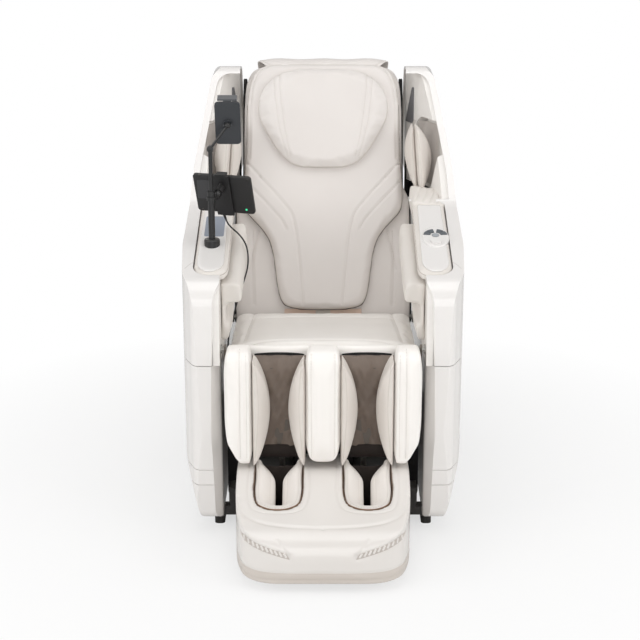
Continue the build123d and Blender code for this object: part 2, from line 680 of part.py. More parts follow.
def make_carriage():
    half = GUIDE_X + RAIL_R + 12
    depth = CARRIAGE_N[1] - CARRIAGE_N[0]
    middle = (CARRIAGE_N[0] + CARRIAGE_N[1]) / 2
    plate = Pos(0, CARRIAGE_UP, middle) * Box(2 * half, CARRIAGE_H, depth)
    plate = fillet(plate.edges().filter_by(Axis.Z), 12)
    for side in (LEFT, RIGHT):
        pocket = Pos(side * (ARM_X + 10), CARRIAGE_UP, middle + 12) * Box(76, CARRIAGE_H + 2, depth)
        plate -= pocket
        bore = Pos(side * GUIDE_X, CARRIAGE_UP, GUIDE_OUT) * Rot(90, 0, 0) * Cylinder(RAIL_R + RUN, CARRIAGE_H + 2)
        plate -= bore
        for x in (ARM_X - ARM_T / 2 - 1 - LUG_T, ARM_X + ARM_T / 2 + 1):
            centre = side * (x + LUG_T / 2)
            lug = Pos(centre, CARRIAGE_UP, (ARM_OUT + CARRIAGE_N[0] + 12) / 2) * Box(
                LUG_T, 24, ARM_OUT - CARRIAGE_N[0] - 10
            )
            lug += Pos(centre, CARRIAGE_UP, ARM_OUT) * Rot(0, 90, 0) * Cylinder(12, LUG_T)
            plate += lug
        x0 = side * (ARM_X - ARM_T / 2 - 1 - LUG_T)
        x1 = side * (ARM_X + ARM_T / 2 + 1 + LUG_T)
        plate += local_rod(x0, x1, CARRIAGE_UP, ARM_OUT, ARM_PIN_R)
    motor = local_rod(-34, 34, CARRIAGE_UP, ARM_OUT - 2, 26)
    neck = Pos(0, CARRIAGE_UP, ARM_OUT - 20) * Box(40, 36, 30)
    return BACK * (plate + motor + neck)


def make_kneading_arm(side):
    middle = Pos(CARRIAGE_UP, ARM_OUT)
    face = middle * SlotCenterToCenter(2 * ARM_REACH, 2 * ROLLER_AXLE_R + 14) + middle * Circle(18)
    arm = extrude(Plane.YZ.offset(ARM_X - ARM_T / 2) * face, amount=ARM_T, dir=(1, 0, 0))
    arm -= local_rod(ARM_X - ARM_T, ARM_X + ARM_T, CARRIAGE_UP, ARM_OUT, ARM_PIN_R + RUN)
    x0 = ARM_X + ARM_T / 2 - 1
    x1 = ARM_X + ARM_T / 2 + ROLLER_W + 6
    for up in (CARRIAGE_UP - ARM_REACH, CARRIAGE_UP + ARM_REACH):
        arm += local_rod(x0, x1, up, ARM_OUT, ROLLER_AXLE_R)
        arm += local_rod(x1 - 3, x1, up, ARM_OUT, ROLLER_AXLE_R + 4)
    return on_side(BACK * arm, side)


def make_massage_roller(side, up):
    roller = Cylinder(ROLLER_R, ROLLER_W)
    roller = fillet(roller.edges().filter_by(GeomType.CIRCLE), 12)
    for z in (-ROLLER_W / 2, ROLLER_W / 2 - 5):
        roller -= Pos(0, 0, z) * extrude(Circle(20) - Circle(9), amount=5)
    roller -= Cylinder(ROLLER_AXLE_R + RUN, ROLLER_W + 2)
    x = ARM_X + ARM_T / 2 + 1.5 + ROLLER_W / 2
    return on_side(BACK * (Pos(x, up, ARM_OUT) * Rot(0, 90, 0) * roller), side)


def make_back_cushion():
    face = back_outline(CUSHION_HALF, 12, BACK_LENGTH + 6, 40, 66)
    cushion = back_slab(face, BACK_FACE + FIT, PAD_FACE)
    return fillet(cushion.edges().filter_by(GeomType.CIRCLE, reverse=True).group_by(Axis.Y)[0], 2)


PILLOW_T = 62.0
PILLOW_HIGH = BACK_LENGTH - 7      # the pillow hangs from the top of the backrest
PILLOW_LOW = PILLOW_HIGH - 318
PAD_T = 34.0
PAD_HIGH = PILLOW_LOW + 50         # the pad ends beneath the pillow
PAD_SHAPE = [
    # distance inside the cushion's edge, share of the pad's height
    (107, 0.0213),
    (91, 0.1915),
    (84, 0.383),
    (69, 0.481),
    (19, 0.604),
    (8, 0.745),
    (13, 1.0),
]


def pad_face():
    right = [(CUSHION_HALF - edge, share * PAD_HIGH) for edge, share in PAD_SHAPE]
    left = [(-x, up) for x, up in reversed(right)]
    radii = [40, 300, 120, 60, 50, 80, 12]
    return outline(right + left, radii + radii[::-1])


def make_back_pad():
    return back_slab(pad_face(), PAD_FACE + FIT, PAD_FACE + PAD_T)


STRAP_W = 2 * (CUSHION_HALF - 42)  # width of the strap over the top of the backrest


def make_head_pillow():
    right = [
        (CUSHION_HALF - 127, PILLOW_LOW),
        (CUSHION_HALF - 19, PILLOW_LOW + 162),
        (CUSHION_HALF - 17, PILLOW_LOW + 212),
        (CUSHION_HALF - 67, PILLOW_HIGH),
    ]
    points = right + [(-x, up) for x, up in reversed(right)]
    face = outline(points, [60, 50, 40, 56, 56, 40, 50, 60])
    pillow = extrude(Pos(0, 0, PAD_FACE + FIT) * face, amount=PILLOW_T, dir=(0, 0, 1))
    pillow = fillet(pillow.edges().group_by(Axis.Z)[-1], 26)
    pillow -= extrude(offset(pad_face(), amount=FIT), amount=PAD_FACE + PAD_T + FIT, dir=(0, 0, 1))
    strap_top = BACK_LENGTH + 6 + FIT
    strap = Pos(0, (PILLOW_HIGH - 30 + strap_top + 5) / 2, PAD_FACE + 5) * Box(
        STRAP_W, strap_top + 5 - PILLOW_HIGH + 30, 9
    )
    strap += Pos(0, strap_top + 6, (PAD_FACE + 9 + BACK_FACE - 30) / 2) * Box(
        STRAP_W, 12, PAD_FACE + 9 - BACK_FACE + 30
    )
    return BACK * (pillow + strap)


# ---- Calf rest ----
ROD_X = 110.0              # slide rods that carry the footrest
ROD_Y = CALF_BACK_Y + CALF_FRAME_T / 2
ROD_R = 8.0
FOOT_TRAVEL = 100.0
ROD_TOP_Z = CALF_FRAME_TOP_Z - 12


def make_calf_frame():
    y0, y1 = CALF_BACK_Y, CALF_BACK_Y + CALF_FRAME_T
    face = outline(
        [
            (-CALF_HALF, CALF_FRAME_TOP_Z),
            (-CALF_HALF, CALF_FRAME_LOW_Z + 60),
            (-CALF_HALF + 36, CALF_FRAME_LOW_Z),
            (CALF_HALF - 36, CALF_FRAME_LOW_Z),
            (CALF_HALF, CALF_FRAME_LOW_Z + 60),
            (CALF_HALF, CALF_FRAME_TOP_Z),
        ],
        [6, 24, 20, 20, 24, 6],
    )
    frame = lengthwise(face, y0, y1)
    low, high = CALF_FRAME_LOW_Z + 16, CALF_FRAME_TOP_Z - 14
    pocket_y = y0 + 6
    frame -= block(-ROD_X + 18, ROD_X - 18, pocket_y, y1 + 1, low, high)
    frame -= both_ways(ROD_X + 18, CALF_HALF - 44, pocket_y, y1 + 1, low, high)
    for side in (LEFT, RIGHT):
        bore_h = ROD_TOP_Z + 2 - CALF_FRAME_LOW_Z
        frame -= Pos(side * ROD_X, ROD_Y, CALF_FRAME_LOW_Z + bore_h / 2) * Cylinder(ROD_R + RUN, bore_h)
    ear = outline(
        [
            (y0 + 2, CALF_FRAME_TOP_Z - 90),
            (y1 - 4, CALF_FRAME_TOP_Z - 90),
            (CALF_PIVOT_Y + 12, CALF_PIVOT_Z - 14),
            (CALF_PIVOT_Y + 12, CALF_PIVOT_Z + 12),
            (CALF_PIVOT_Y - 12, CALF_PIVOT_Z + 12),
            (y0 + 2, CALF_FRAME_TOP_Z - 10),
        ],
        [8, 8, 11, 11, 11, 12],
    )
    plate = across(ear, EAR_X, EAR_X + EAR_T)
    root = block(CALF_HALF - 4, EAR_X + 1, y0 + 8, y1 - 8, CALF_FRAME_TOP_Z - 84, CALF_FRAME_TOP_Z - 16)
    hole = rod_x(EAR_X - 2, EAR_X + EAR_T + 2, CALF_PIVOT_Y, CALF_PIVOT_Z, CALF_PIN_R + RUN)
    plate = plate + root - hole
    return frame + plate + mirror(plate, about=Plane.YZ)


PAD_BACK_Y = CALF_BACK_Y - FIT
OUTER_PAD_IN_X = CALF_HALF - 65
LEAF_BULGE = 42.0         # how far a leaf bows into the channel
LEAF_GAP = 7.0            # slot between a leaf and the pad beside it


def make_calf_outer(side):
    face = outline(
        [
            (OUTER_PAD_IN_X, CALF_TOP_Z + 4),
            (OUTER_PAD_IN_X, CALF_LOW_Z - 4),
            (CALF_HALF - 38, CALF_LOW_Z - 4),
            (CALF_HALF, CALF_LOW_Z + 66),
            (CALF_HALF, CALF_TOP_Z + 4),
        ],
        [6, 10, 20, 30, 22],
    )
    pad = lengthwise(face, CALF_FRONT_Y - 10, PAD_BACK_Y + 10)
    profile = outline(
        [
            (CALF_FRONT_Y, CALF_LOW_Z),
            (CALF_FRONT_Y, CALF_TOP_Z),
            (PAD_BACK_Y, CALF_TOP_Z),
            (PAD_BACK_Y, CALF_LOW_Z),
        ],
        [22, 34, 20, 8],
    )
    return on_side(pad & across(profile, 0, CALF_HALF + 10), side)


def make_calf_centre():
    face = outline(
        [
            (-CALF_CENTRE_HALF, CALF_LOW_Z + 8),
            (CALF_CENTRE_HALF, CALF_LOW_Z + 8),
            (CALF_CENTRE_HALF, CALF_TOP_Z + 4),
            (-CALF_CENTRE_HALF, CALF_TOP_Z + 4),
        ],
        [30, 30, 14, 14],
    )
    pad = lengthwise(face, CALF_FRONT_Y - 10, PAD_BACK_Y + 10)
    profile = outline(
        [
            (CALF_FRONT_Y, CALF_LOW_Z),
            (CALF_FRONT_Y, CALF_TOP_Z),
            (PAD_BACK_Y, CALF_TOP_Z),
            (PAD_BACK_Y, CALF_LOW_Z),
        ],
        [22, 34, 20, 8],
    )
    return pad & across(profile, -CALF_HALF, CALF_HALF)


def make_calf_airbags(side):
    """Two upright leaves line each calf channel: flat against the pad, bowed into the channel."""
    low, high = CALF_LOW_Z - 4, CALF_TOP_Z - 30
    mid = (low + high) / 2
    y0, y1 = CALF_FRONT_Y + 6, PAD_BACK_Y
    leaves = []
    for flat_x, bow in ((CALF_CENTRE_HALF + LEAF_GAP, LEAF_BULGE), (OUTER_PAD_IN_X - LEAF_GAP, -LEAF_BULGE)):
        leaf = Line((flat_x, low), (flat_x, high)) + ThreePointArc(
            (flat_x, high), (flat_x + bow, mid), (flat_x, low)
        )
        leaves.append(on_side(lengthwise(make_face(leaf), y0, y1), side))
    return Compound(children=leaves)


# ---- Footrest ----
FOOT_WALL = 6.0
SKIRT_GROOVE = (52.0, 62.0)    # shadow groove above the footrest's skirt
SKIRT_STEP = 3.5
ROLLER_Y = -430.0
SHAFT_R = 5.0
SHAFT_Z = WELL_FLOOR_Z - 14
KNOB_R = 22.0
WELL_REAR_Y = CALF_BACK_Y - 34
WELL_TOP_Z = 240.0


def foot_outer(inset):
    profile = outline(
        [
            (FOOT_REAR_Y - inset, FOOT_LOW_Z - (inset > 0)),
            (FOOT_REAR_Y - inset, FOOT_TOP_Z - inset),
            (CALF_FRONT_Y - 8, FOOT_TOP_Z - inset),
            (FOOT_FRONT_Y + 34 + inset, FOOT_NOSE_Z - inset),
            (FOOT_FRONT_Y + inset, FOOT_NOSE_Z - 34 - inset / 2),
            (FOOT_FRONT_Y + 1 + inset, FOOT_LOW_Z + 30),
            (FOOT_FRONT_Y + 5 + inset, FOOT_LOW_Z - (inset > 0)),
        ],
        [6, 8, 40, 18, 18, 20, 3],
    )
    half = FOOT_HALF - inset
    plan = outline(
        [
            (-half, FOOT_REAR_Y + 30),
            (-half + 2, FOOT_FRONT_Y + 190),
            (-half + 24, FOOT_FRONT_Y + 54 + inset),
            (-half + 104, FOOT_FRONT_Y + inset),
            (half - 104, FOOT_FRONT_Y + inset),
            (half - 24, FOOT_FRONT_Y + 54 + inset),
            (half - 2, FOOT_FRONT_Y + 190),
            (half, FOOT_REAR_Y + 30),
        ],
        [8, 300, 60, 120, 120, 60, 300, 8],
    )
    return across(profile, -FOOT_HALF - 20, FOOT_HALF + 20) & upright(plan, 0, 300)


def well_plan(grow, rear):
    return outline(
        [
            (WELL_IN - grow, rear),
            (WELL_IN - grow, WELL_FRONT_Y - grow),
            (WELL_OUT + grow, WELL_FRONT_Y - grow),
            (WELL_OUT + grow, rear),
        ],
        [14, WELL_R + grow, WELL_R + grow, 14],
    )


def make_footrest_shell():
    shell = foot_outer(0)
    low, high = SKIRT_GROOVE
    band = block(-FOOT_HALF - 10, FOOT_HALF + 10, FOOT_FRONT_Y - 10, FOOT_REAR_Y + 10, low, high)
    shell -= band - foot_outer(SKIRT_STEP)
    hollow = foot_outer(FOOT_WALL)
    for side in (LEFT, RIGHT):
        tub = upright(well_plan(FOOT_WALL, WELL_REAR_Y + FOOT_WALL), WELL_FLOOR_Z - FOOT_WALL, WELL_TOP_Z)
        hollow -= on_side(tub, side)
        hollow -= block(side * ROD_X - 16, side * ROD_X + 16, FOOT_REAR_Y - 34, FOOT_REAR_Y, 60, 300)
    shell -= hollow
    for side in (LEFT, RIGHT):
        shell -= on_side(upright(well_plan(0, WELL_REAR_Y), WELL_FLOOR_Z, WELL_TOP_Z), side)
        window = block(WELL_IN + 12, WELL_OUT - 12, ROLLER_Y - 28, ROLLER_Y + 28, WELL_FLOOR_Z - 20, WELL_FLOOR_Z + 1)
        shell -= on_side(window, side)
        for x in (WELL_IN + 4, WELL_OUT - 12):
            lug = block(x, x + 8, ROLLER_Y - 11, ROLLER_Y + 11, SHAFT_Z - 11, WELL_FLOOR_Z - FOOT_WALL + 1)
            lug -= rod_x(x - 1, x + 9, ROLLER_Y, SHAFT_Z, SHAFT_R + RUN)
            shell += on_side(lug, side)
        shell -= Pos(side * ROD_X, ROD_Y, FOOT_TOP_Z) * Cylinder(ROD_R, 120)
    return shell


def make_slide_rods():
    rods = [
        Pos(side * ROD_X, ROD_Y, (FOOT_TOP_Z - 60 + ROD_TOP_Z) / 2) * Cylinder(ROD_R, ROD_TOP_Z - FOOT_TOP_Z + 60)
        for side in (LEFT, RIGHT)
    ]
    return Compound(children=rods)


LINER_T = 18.0


def make_foot_liner(side):
    outer = upright(well_plan(-FIT, WELL_REAR_Y - FIT), WELL_FLOOR_Z + FIT, WELL_FLOOR_Z + 84)
    slot = upright(well_plan(-LINER_T, WELL_REAR_Y + 20), WELL_FLOOR_Z - 1, WELL_FLOOR_Z + 90)
    return on_side(outer - slot, side)


def make_foot_roller(side):
    x0, x1 = WELL_IN + 5, WELL_OUT - 5
    roller = rod_x(x0, x1, ROLLER_Y, SHAFT_Z, SHAFT_R)
    for x in (WELL_IN + 34, (WELL_IN + WELL_OUT) / 2, WELL_OUT - 34):
        disc = rod_x(x - 9, x + 9, ROLLER_Y, SHAFT_Z, KNOB_R)
        roller += fillet(disc.edges().filter_by(GeomType.CIRCLE), 5)
    return on_side(roller, side)


# ---- Device stand on the right armrest ----
ELBOW_R = 9.0
ELBOW_T = 8.0
ELBOW_PIN_R = 4.0
BALL_R = 8.0
BALL_GAP = 0.06
TRUNNION_R = 2.5           # pins through the two ball joints
LUG_OFF = 13.3             # lugs of the tablet's clevis, above and below its ball
HOLDER_TILT = 20.0
TABLET_YAW = 17.0
TABLET_TILT = 20.0
TABLET_W, TABLET_H, TABLET_T = 166.0, 118.0, 9.0
TABLET_POINT = (STAND_X + 31, STAND_Y + 46, POST_TOP_Z - 4)
TABLET_BALL = (STAND_X + 18, STAND_Y + 6, POST_TOP_Z + 8)
ARM_Y = STAND_Y + MAST_R + ELBOW_T / 2 + 0.6
HOLDER_BALL = (STAND_X + 47, ARM_Y, MAST_TOP_Z + 62)
CABLE_R = 2.25
GLAND_X = -10.0
GLAND_L = 10.0

TABLET = Plane(
    origin=TABLET_POINT,
    x_dir=(cos(radians(TABLET_YAW)), -sin(radians(TABLET_YAW)), 0),
    z_dir=(
        sin(radians(TABLET_YAW)) * cos(radians(TABLET_TILT)),
        cos(radians(TABLET_YAW)) * cos(radians(TABLET_TILT)),
        sin(radians(TABLET_TILT)),
    ),
)
HOLDER_DIR = Vector(0, cos(radians(HOLDER_TILT)), sin(radians(HOLDER_TILT)))
HOLDER = Plane(origin=Vector(*HOLDER_BALL) + HOLDER_DIR * (BALL_R + 2), x_dir=(1, 0, 0), z_dir=HOLDER_DIR)


def rod_y(x, y, z, radius, length):
    return Pos(x, y, z) * Rot(90, 0, 0) * Cylinder(radius, length)


def rod_z(x, y, z0, z1, radius):
    return Pos(x, y, (z0 + z1) / 2) * Cylinder(radius, z1 - z0)


def make_stand_post():
    foot_z = arm_z(STAND_Y)
    post = rod_z(STAND_X, STAND_Y, foot_z - 20, foot_z + 22, 21.5)
    post = fillet(post.edges().group_by(Axis.Z)[-1], 4)
    post -= on_side(armrest_slab(ARM_IN_X - 40, ARM_OUT_X + 40, -90, FIT, -60), RIGHT)
    post += rod_z(STAND_X, STAND_Y, foot_z + 10, POST_TOP_Z, POST_R)
    post += rod_z(STAND_X, STAND_Y, POST_TOP_Z - 9, POST_TOP_Z + 1, POST_R + 3)
    post += rod_z(STAND_X, STAND_Y, POST_TOP_Z, MAST_TOP_Z, MAST_R)
    clamp_z = TABLET_BALL[2]
    post += rod_z(STAND_X, STAND_Y, clamp_z - 6, clamp_z + 8, MAST_R + 5)
    post += tube_between((STAND_X + 6, STAND_Y + 2, clamp_z), TABLET_BALL, BALL_R - 3)
    post += Pos(*TABLET_BALL) * (Sphere(BALL_R) + Cylinder(TRUNNION_R, 2 * LUG_OFF + 8))
    eye_y0, eye_y1 = STAND_Y - ELBOW_T / 2, ARM_Y - ELBOW_T / 2 - FIT
    post += rod_y(STAND_X, (eye_y0 + eye_y1) / 2, MAST_TOP_Z, ELBOW_R, eye_y1 - eye_y0)
    pin_end = ARM_Y + ELBOW_T / 2 + 2
    post += rod_y(STAND_X, (STAND_Y + pin_end) / 2, MAST_TOP_Z, ELBOW_PIN_R, pin_end - STAND_Y)
    return post


def tablet_lugs():
    """Two lugs reach from the tablet's clip to the pin above and below its ball."""
    lugs = []
    for rise in (-LUG_OFF, LUG_OFF):
        end = TABLET.to_local_coords(Vector(*TABLET_BALL) + Vector(0, 0, rise))
        lugs.append(tube_between((end.X, end.Y, end.Z - 4), (end.X, end.Y, 1), 3.8))
    return lugs[0] + lugs[1]


def make_tablet():
    slab = extrude(RectangleRounded(TABLET_W, TABLET_H, 9), amount=TABLET_T)
    slab = fillet(slab.edges().group_by(Axis.Z)[0], 3)
    slab += Pos(0, 0, -3) * Box(48, TABLET_H + 8, 7)
    for y in (-TABLET_H / 2 - 3, TABLET_H / 2 + 3):
        slab += Pos(0, y, 4) * Box(30, 5.6, 18)
    ball = TABLET.to_local_coords(Vector(*TABLET_BALL))
    cup_top = ball.Z + 4
    slab += Pos(ball.X, ball.Y, (cup_top - 3) / 2) * Cylinder(11, -3 - cup_top)
    slab -= Pos(ball.X, ball.Y, ball.Z) * Sphere(BALL_R + BALL_GAP)
    slab += tablet_lugs()
    slab += Pos(GLAND_X, TABLET_H / 2 + GLAND_L / 2 - 1, TABLET_T / 2) * Rot(90, 0, 0) * Cylinder(3.6, GLAND_L + 2)
    slab -= Pos(GLAND_X, TABLET_H / 2 + GLAND_L + 2, TABLET_T / 2) * Rot(90, 0, 0) * Cylinder(5, 4)
    return TABLET * slab - Pos(*TABLET_BALL) * Cylinder(TRUNNION_R + RUN, 60)


def make_phone_arm():
    arm = rod_y(STAND_X, ARM_Y, MAST_TOP_Z, ELBOW_R, ELBOW_T)
    arm += tube_between((STAND_X + 4, ARM_Y, MAST_TOP_Z + 5), HOLDER_BALL, MAST_R - 2)
    arm += Pos(*HOLDER_BALL) * (Sphere(BALL_R) + Rot(0, 90, 0) * Cylinder(TRUNNION_R, 2 * CHEEK_OUT + 2))
    arm -= rod_y(STAND_X, ARM_Y, MAST_TOP_Z, ELBOW_PIN_R + RUN, 4 * ELBOW_T)
    return arm


HOLDER_W, HOLDER_H, HOLDER_T = 68.0, 128.0, 6.0
LIP_D = 22.0
STEM_W = 22.0
CHEEK_T = 3.0              # cheeks of the phone holder's clevis
CHEEK_OUT = 11.6
CHEEK_R = 4.2
JAW_TRAVEL = 18.0


def make_phone_holder():
    plate = extrude(RectangleRounded(HOLDER_W, HOLDER_H, 10), amount=HOLDER_T)
    plate += Pos(0, HOLDER_H / 2 - 2.5, (LIP_D + HOLDER_T) / 2) * Box(HOLDER_W - 22, 5, LIP_D + HOLDER_T)
    for x in (-STEM_W / 2 - 2.2, STEM_W / 2 + 2.2):
        plate += Pos(x, -HOLDER_H / 2 + 34, HOLDER_T + 1.5) * Box(3.4, 60, 3.2)
    plate += Pos(0, 0, -2) * Cylinder(12, 4.2)
    for x in (-CHEEK_OUT + CHEEK_T / 2, CHEEK_OUT - CHEEK_T / 2):
        plate += Pos(x, 0, -BALL_R / 2 - 1) * Box(CHEEK_T, 2 * CHEEK_R, BALL_R + 2)
        plate += Pos(x, 0, -BALL_R - 2) * Rot(0, 90, 0) * Cylinder(CHEEK_R, CHEEK_T)
    plate -= Pos(0, 0, -BALL_R - 2) * Sphere(BALL_R + BALL_GAP)
    plate -= Pos(0, 0, -BALL_R - 2) * Rot(0, 90, 0) * Cylinder(TRUNNION_R + RUN, 60)
    return HOLDER * plate


def make_phone_jaw():
    stem = Pos(0, -HOLDER_H / 2 + 24, HOLDER_T + FIT + 1.4) * Box(STEM_W, 56, 2.8)
    lip = Pos(0, -HOLDER_H / 2 - 4, HOLDER_T + FIT + LIP_D / 2) * Box(HOLDER_W - 16, 5, LIP_D)
    return HOLDER * (stem + lip)


# ---- Cable from the tablet down into the slot beside the seat ----
CLIP_X = HOUSING_X - SIDE_GAP / 2
CLIP_Z = 437.0
CLIP_Y = -107.0
CABLE_POINTS = [
    (-266, -47, 806),
    (-251, -49, 789),
    (-231, -56, 774),
    (-213, -66, 751),
    (-206, -76, 722),
    (-207, -85, 688),
    (-218, -93, 651),
    (-233, -99, 611),
    (-244, -103, 566),
    (-259, -105, 516),
    (-265, -106, 474),
]


def make_cable_clip():
    clip = rod_z(CLIP_X, CLIP_Y, CLIP_Z - 16, CLIP_Z, CABLE_R + 2.4)
    return clip + block(CLIP_X, HOUSING_X + 1, CLIP_Y - 3, CLIP_Y + 3, CLIP_Z - 15, CLIP_Z - 1)


def make_tablet_cable():
    start = TABLET.from_local_coords(Vector(GLAND_X, TABLET_H / 2 + GLAND_L + 2 * FIT, TABLET_T / 2))
    points = [start] + [Vector(*p) for p in CABLE_POINTS] + [Vector(-CLIP_X, CLIP_Y, CLIP_Z + FIT)]
    radii = []
    for before, here, after in zip(points, points[1:], points[2:]):
        run = min((here - before).length, (after - here).length)
        turn = (here - before).get_angle(after - here)
        radii.append(0.45 * run / tan(radians(turn / 2)))
    route = FilletPolyline(*points, radius=radii)
    tube = sweep(Plane(origin=route @ 0, z_dir=route % 0) * Circle(CABLE_R), path=route)
    expected = pi * CABLE_R**2 * route.length
    print("cable length", round(route.length), "radii", [round(r) for r in radii])
    print("cable volume against section x length", round(tube.volume / expected, 4))
    return tube


# ---- Every node ----
save("base_frame", make_base_frame())
save("rubber_feet", make_feet())
save("seat_pan", make_seat_pan())
save("seat_cushion", make_seat_cushion())
save("pivot_pins", make_pivot_pins())
save("control_box", make_control_box())
save("air_pump", make_air_pump())
save("keypad_housing", make_keypad_housing())
for key_name, key in make_keys().items():
    save(key_name, key)

upper_shell = make_upper_shell()
side_cover = make_side_cover()
inner_liner = make_inner_liner()
armrest_cover = make_armrest_cover()
arm_sleeve = make_arm_sleeve()
shoulder_airbags = make_shoulder_airbags()
speaker = make_speaker()
for side_name, side in SIDES.items():
    cover = side_cover if side == LEFT else side_cover + make_cable_clip()
    save(f"{side_name}_upper_shell", on_side(upper_shell, side))
    save(f"{side_name}_side_cover", on_side(cover, side))
    save(f"{side_name}_inner_liner", on_side(inner_liner, side))
    save(f"{side_name}_armrest_cover", on_side(armrest_cover, side))
    save(f"{side_name}_arm_sleeve", on_side(arm_sleeve, side))
    save(f"{side_name}_shoulder_airbags", on_side(shoulder_airbags, side))
    save(f"{side_name}_guide_rail", make_guide_rail(side))
    save(f"{side_name}_kneading_arm", make_kneading_arm(side))
    save(f"{side_name}_upper_roller", make_massage_roller(side, CARRIAGE_UP + ARM_REACH))
    save(f"{side_name}_lower_roller", make_massage_roller(side, CARRIAGE_UP - ARM_REACH))
    save(f"{side_name}_calf_pad", make_calf_outer(side))
    save(f"{side_name}_calf_airbags", make_calf_airbags(side))
    save(f"{side_name}_foot_liner", make_foot_liner(side))
    save(f"{side_name}_foot_roller", make_foot_roller(side))
    save(f"{side_name}_transport_wheel", make_wheel(side))
save("shoulder_speakers", Compound(children=[on_side(speaker, side) for side in SIDES.values()]))

save("back_shell", make_back_shell())
save("back_cushion", make_back_cushion())
save("back_pad", make_back_pad())
save("head_pillow", make_head_pillow())
save("massage_carriage", make_carriage())
save("calf_frame", make_calf_frame())
save("calf_centre_pad", make_calf_centre())
save("footrest_shell", make_footrest_shell())
save("footrest_slide_rods", make_slide_rods())

save("stand_post", make_stand_post())
save("tablet", make_tablet())
save("phone_arm", make_phone_arm())
save("phone_holder", make_phone_holder())
save("phone_jaw", make_phone_jaw())
save("tablet_cable", make_tablet_cable())
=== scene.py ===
from math import cos, pi, radians, sin, tan

import bmesh
import bpy
import numpy as np
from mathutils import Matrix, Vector
from mathutils.bvhtree import BVHTree


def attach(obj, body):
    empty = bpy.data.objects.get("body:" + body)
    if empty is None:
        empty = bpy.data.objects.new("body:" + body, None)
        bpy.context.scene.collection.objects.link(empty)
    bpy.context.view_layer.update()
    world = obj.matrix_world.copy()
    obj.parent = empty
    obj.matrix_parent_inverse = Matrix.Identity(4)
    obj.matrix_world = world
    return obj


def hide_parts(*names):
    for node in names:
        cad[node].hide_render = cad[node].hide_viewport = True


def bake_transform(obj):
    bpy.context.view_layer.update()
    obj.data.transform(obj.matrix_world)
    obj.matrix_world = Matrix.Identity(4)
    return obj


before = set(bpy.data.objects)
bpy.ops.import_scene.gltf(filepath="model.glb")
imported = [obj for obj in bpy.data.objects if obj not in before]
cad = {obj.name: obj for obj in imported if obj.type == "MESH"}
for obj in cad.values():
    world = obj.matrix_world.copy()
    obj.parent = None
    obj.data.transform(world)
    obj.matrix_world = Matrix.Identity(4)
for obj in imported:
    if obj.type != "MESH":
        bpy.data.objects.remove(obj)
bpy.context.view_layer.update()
sides = (("left", 1), ("right", -1))

# ---- Camera ----
# The chair is seen from straight in front and a little above, with a long lens,
# so both side housings show the same and the foot wells open towards the viewer.
aim_point = Vector((0.0, 0.07, 0.56))
view_drop = radians(17.0)
view_distance = 4.5


def put(name, data):
    """A new object in the scene."""
    piece = bpy.data.objects.new(name, data)
    bpy.context.scene.collection.objects.link(piece)
    return piece


camera = put("camera", bpy.data.cameras.new("camera"))
camera.location = aim_point + view_distance * Vector((0, -cos(view_drop), sin(view_drop)))
camera.rotation_euler = (pi / 2 - view_drop, 0, 0)
camera.data.lens = 88.0
camera.data.sensor_width = 36.0
camera.data.shift_x = -0.0047
camera.data.shift_y = -0.039
camera.data.clip_end = 60.0
bpy.context.scene.camera = camera

# ---- Studio: floor, backdrop light and lamps ----
# A pale seamless floor that fades to a white backdrop, two broad soft lamps at
# the sides, one overhead and a weak fill from the front.
bpy.context.scene.view_settings.view_transform = "Standard"
world = bpy.data.worlds.new("studio")
bpy.context.scene.world = world
world.use_nodes = True
sky = world.node_tree
sky.nodes.clear()


def add_node(tree, kind, values=None, **settings):
    """A shader node with its settings and the values of its own sockets."""
    node = tree.nodes.new("ShaderNode" + kind)
    for label, setting in settings.items():
        setattr(node, label, setting)
    for socket, value in (values or {}).items():
        node.inputs[socket].default_value = value
    return node


def wire(tree, *links):
    """Joins nodes, each link given as (node, output, node, input)."""
    for source, out_socket, target, in_socket in links:
        tree.links.new(source.outputs[out_socket], target.inputs[in_socket])


room_glow = add_node(sky, "Background", {"Color": (1.0, 0.995, 0.988, 1), "Strength": 0.5})
white_card = add_node(sky, "Background", {"Color": (1, 1, 1, 1), "Strength": 1.0})
seen_by = add_node(sky, "LightPath")
camera_only = add_node(sky, "Math", operation="MAXIMUM")
pick = add_node(sky, "MixShader")
sky_out = add_node(sky, "OutputWorld")
wire(
    sky,
    (seen_by, "Is Camera Ray", camera_only, 0),
    (seen_by, "Is Transmission Ray", camera_only, 1),
    (camera_only, 0, pick, "Fac"),
    (room_glow, 0, pick, 1),
    (white_card, 0, pick, 2),
    (pick, 0, sky_out, "Surface"),
)

floor_half = 9.0
floor_mesh = bpy.data.meshes.new("studio_floor")
floor_corners = [(a * floor_half, b * floor_half, 0) for a, b in ((-1, -1), (1, -1), (1, 1), (-1, 1))]
floor_mesh.from_pydata(floor_corners, [], [(0, 1, 2, 3)])
floor = put("studio_floor", floor_mesh)
floor_paint = bpy.data.materials.new("studio_floor_paint")
floor_paint.use_nodes = True
paint = floor_paint.node_tree
paint.nodes.clear()
matte = add_node(paint, "BsdfDiffuse", {"Color": (0.86, 0.86, 0.855, 1)})
glow = add_node(paint, "Emission", {"Strength": 1.0})
place = add_node(paint, "TexCoord")
reach = add_node(paint, "VectorMath", operation="LENGTH")
fade = add_node(paint, "MapRange", {"From Min": 0.5, "From Max": 1.5, "To Min": 0.62, "To Max": 1.0})
floor_seen = add_node(paint, "LightPath")
only_seen = add_node(paint, "Math", operation="MULTIPLY")
lay = add_node(paint, "MixShader")
floor_out = add_node(paint, "OutputMaterial")
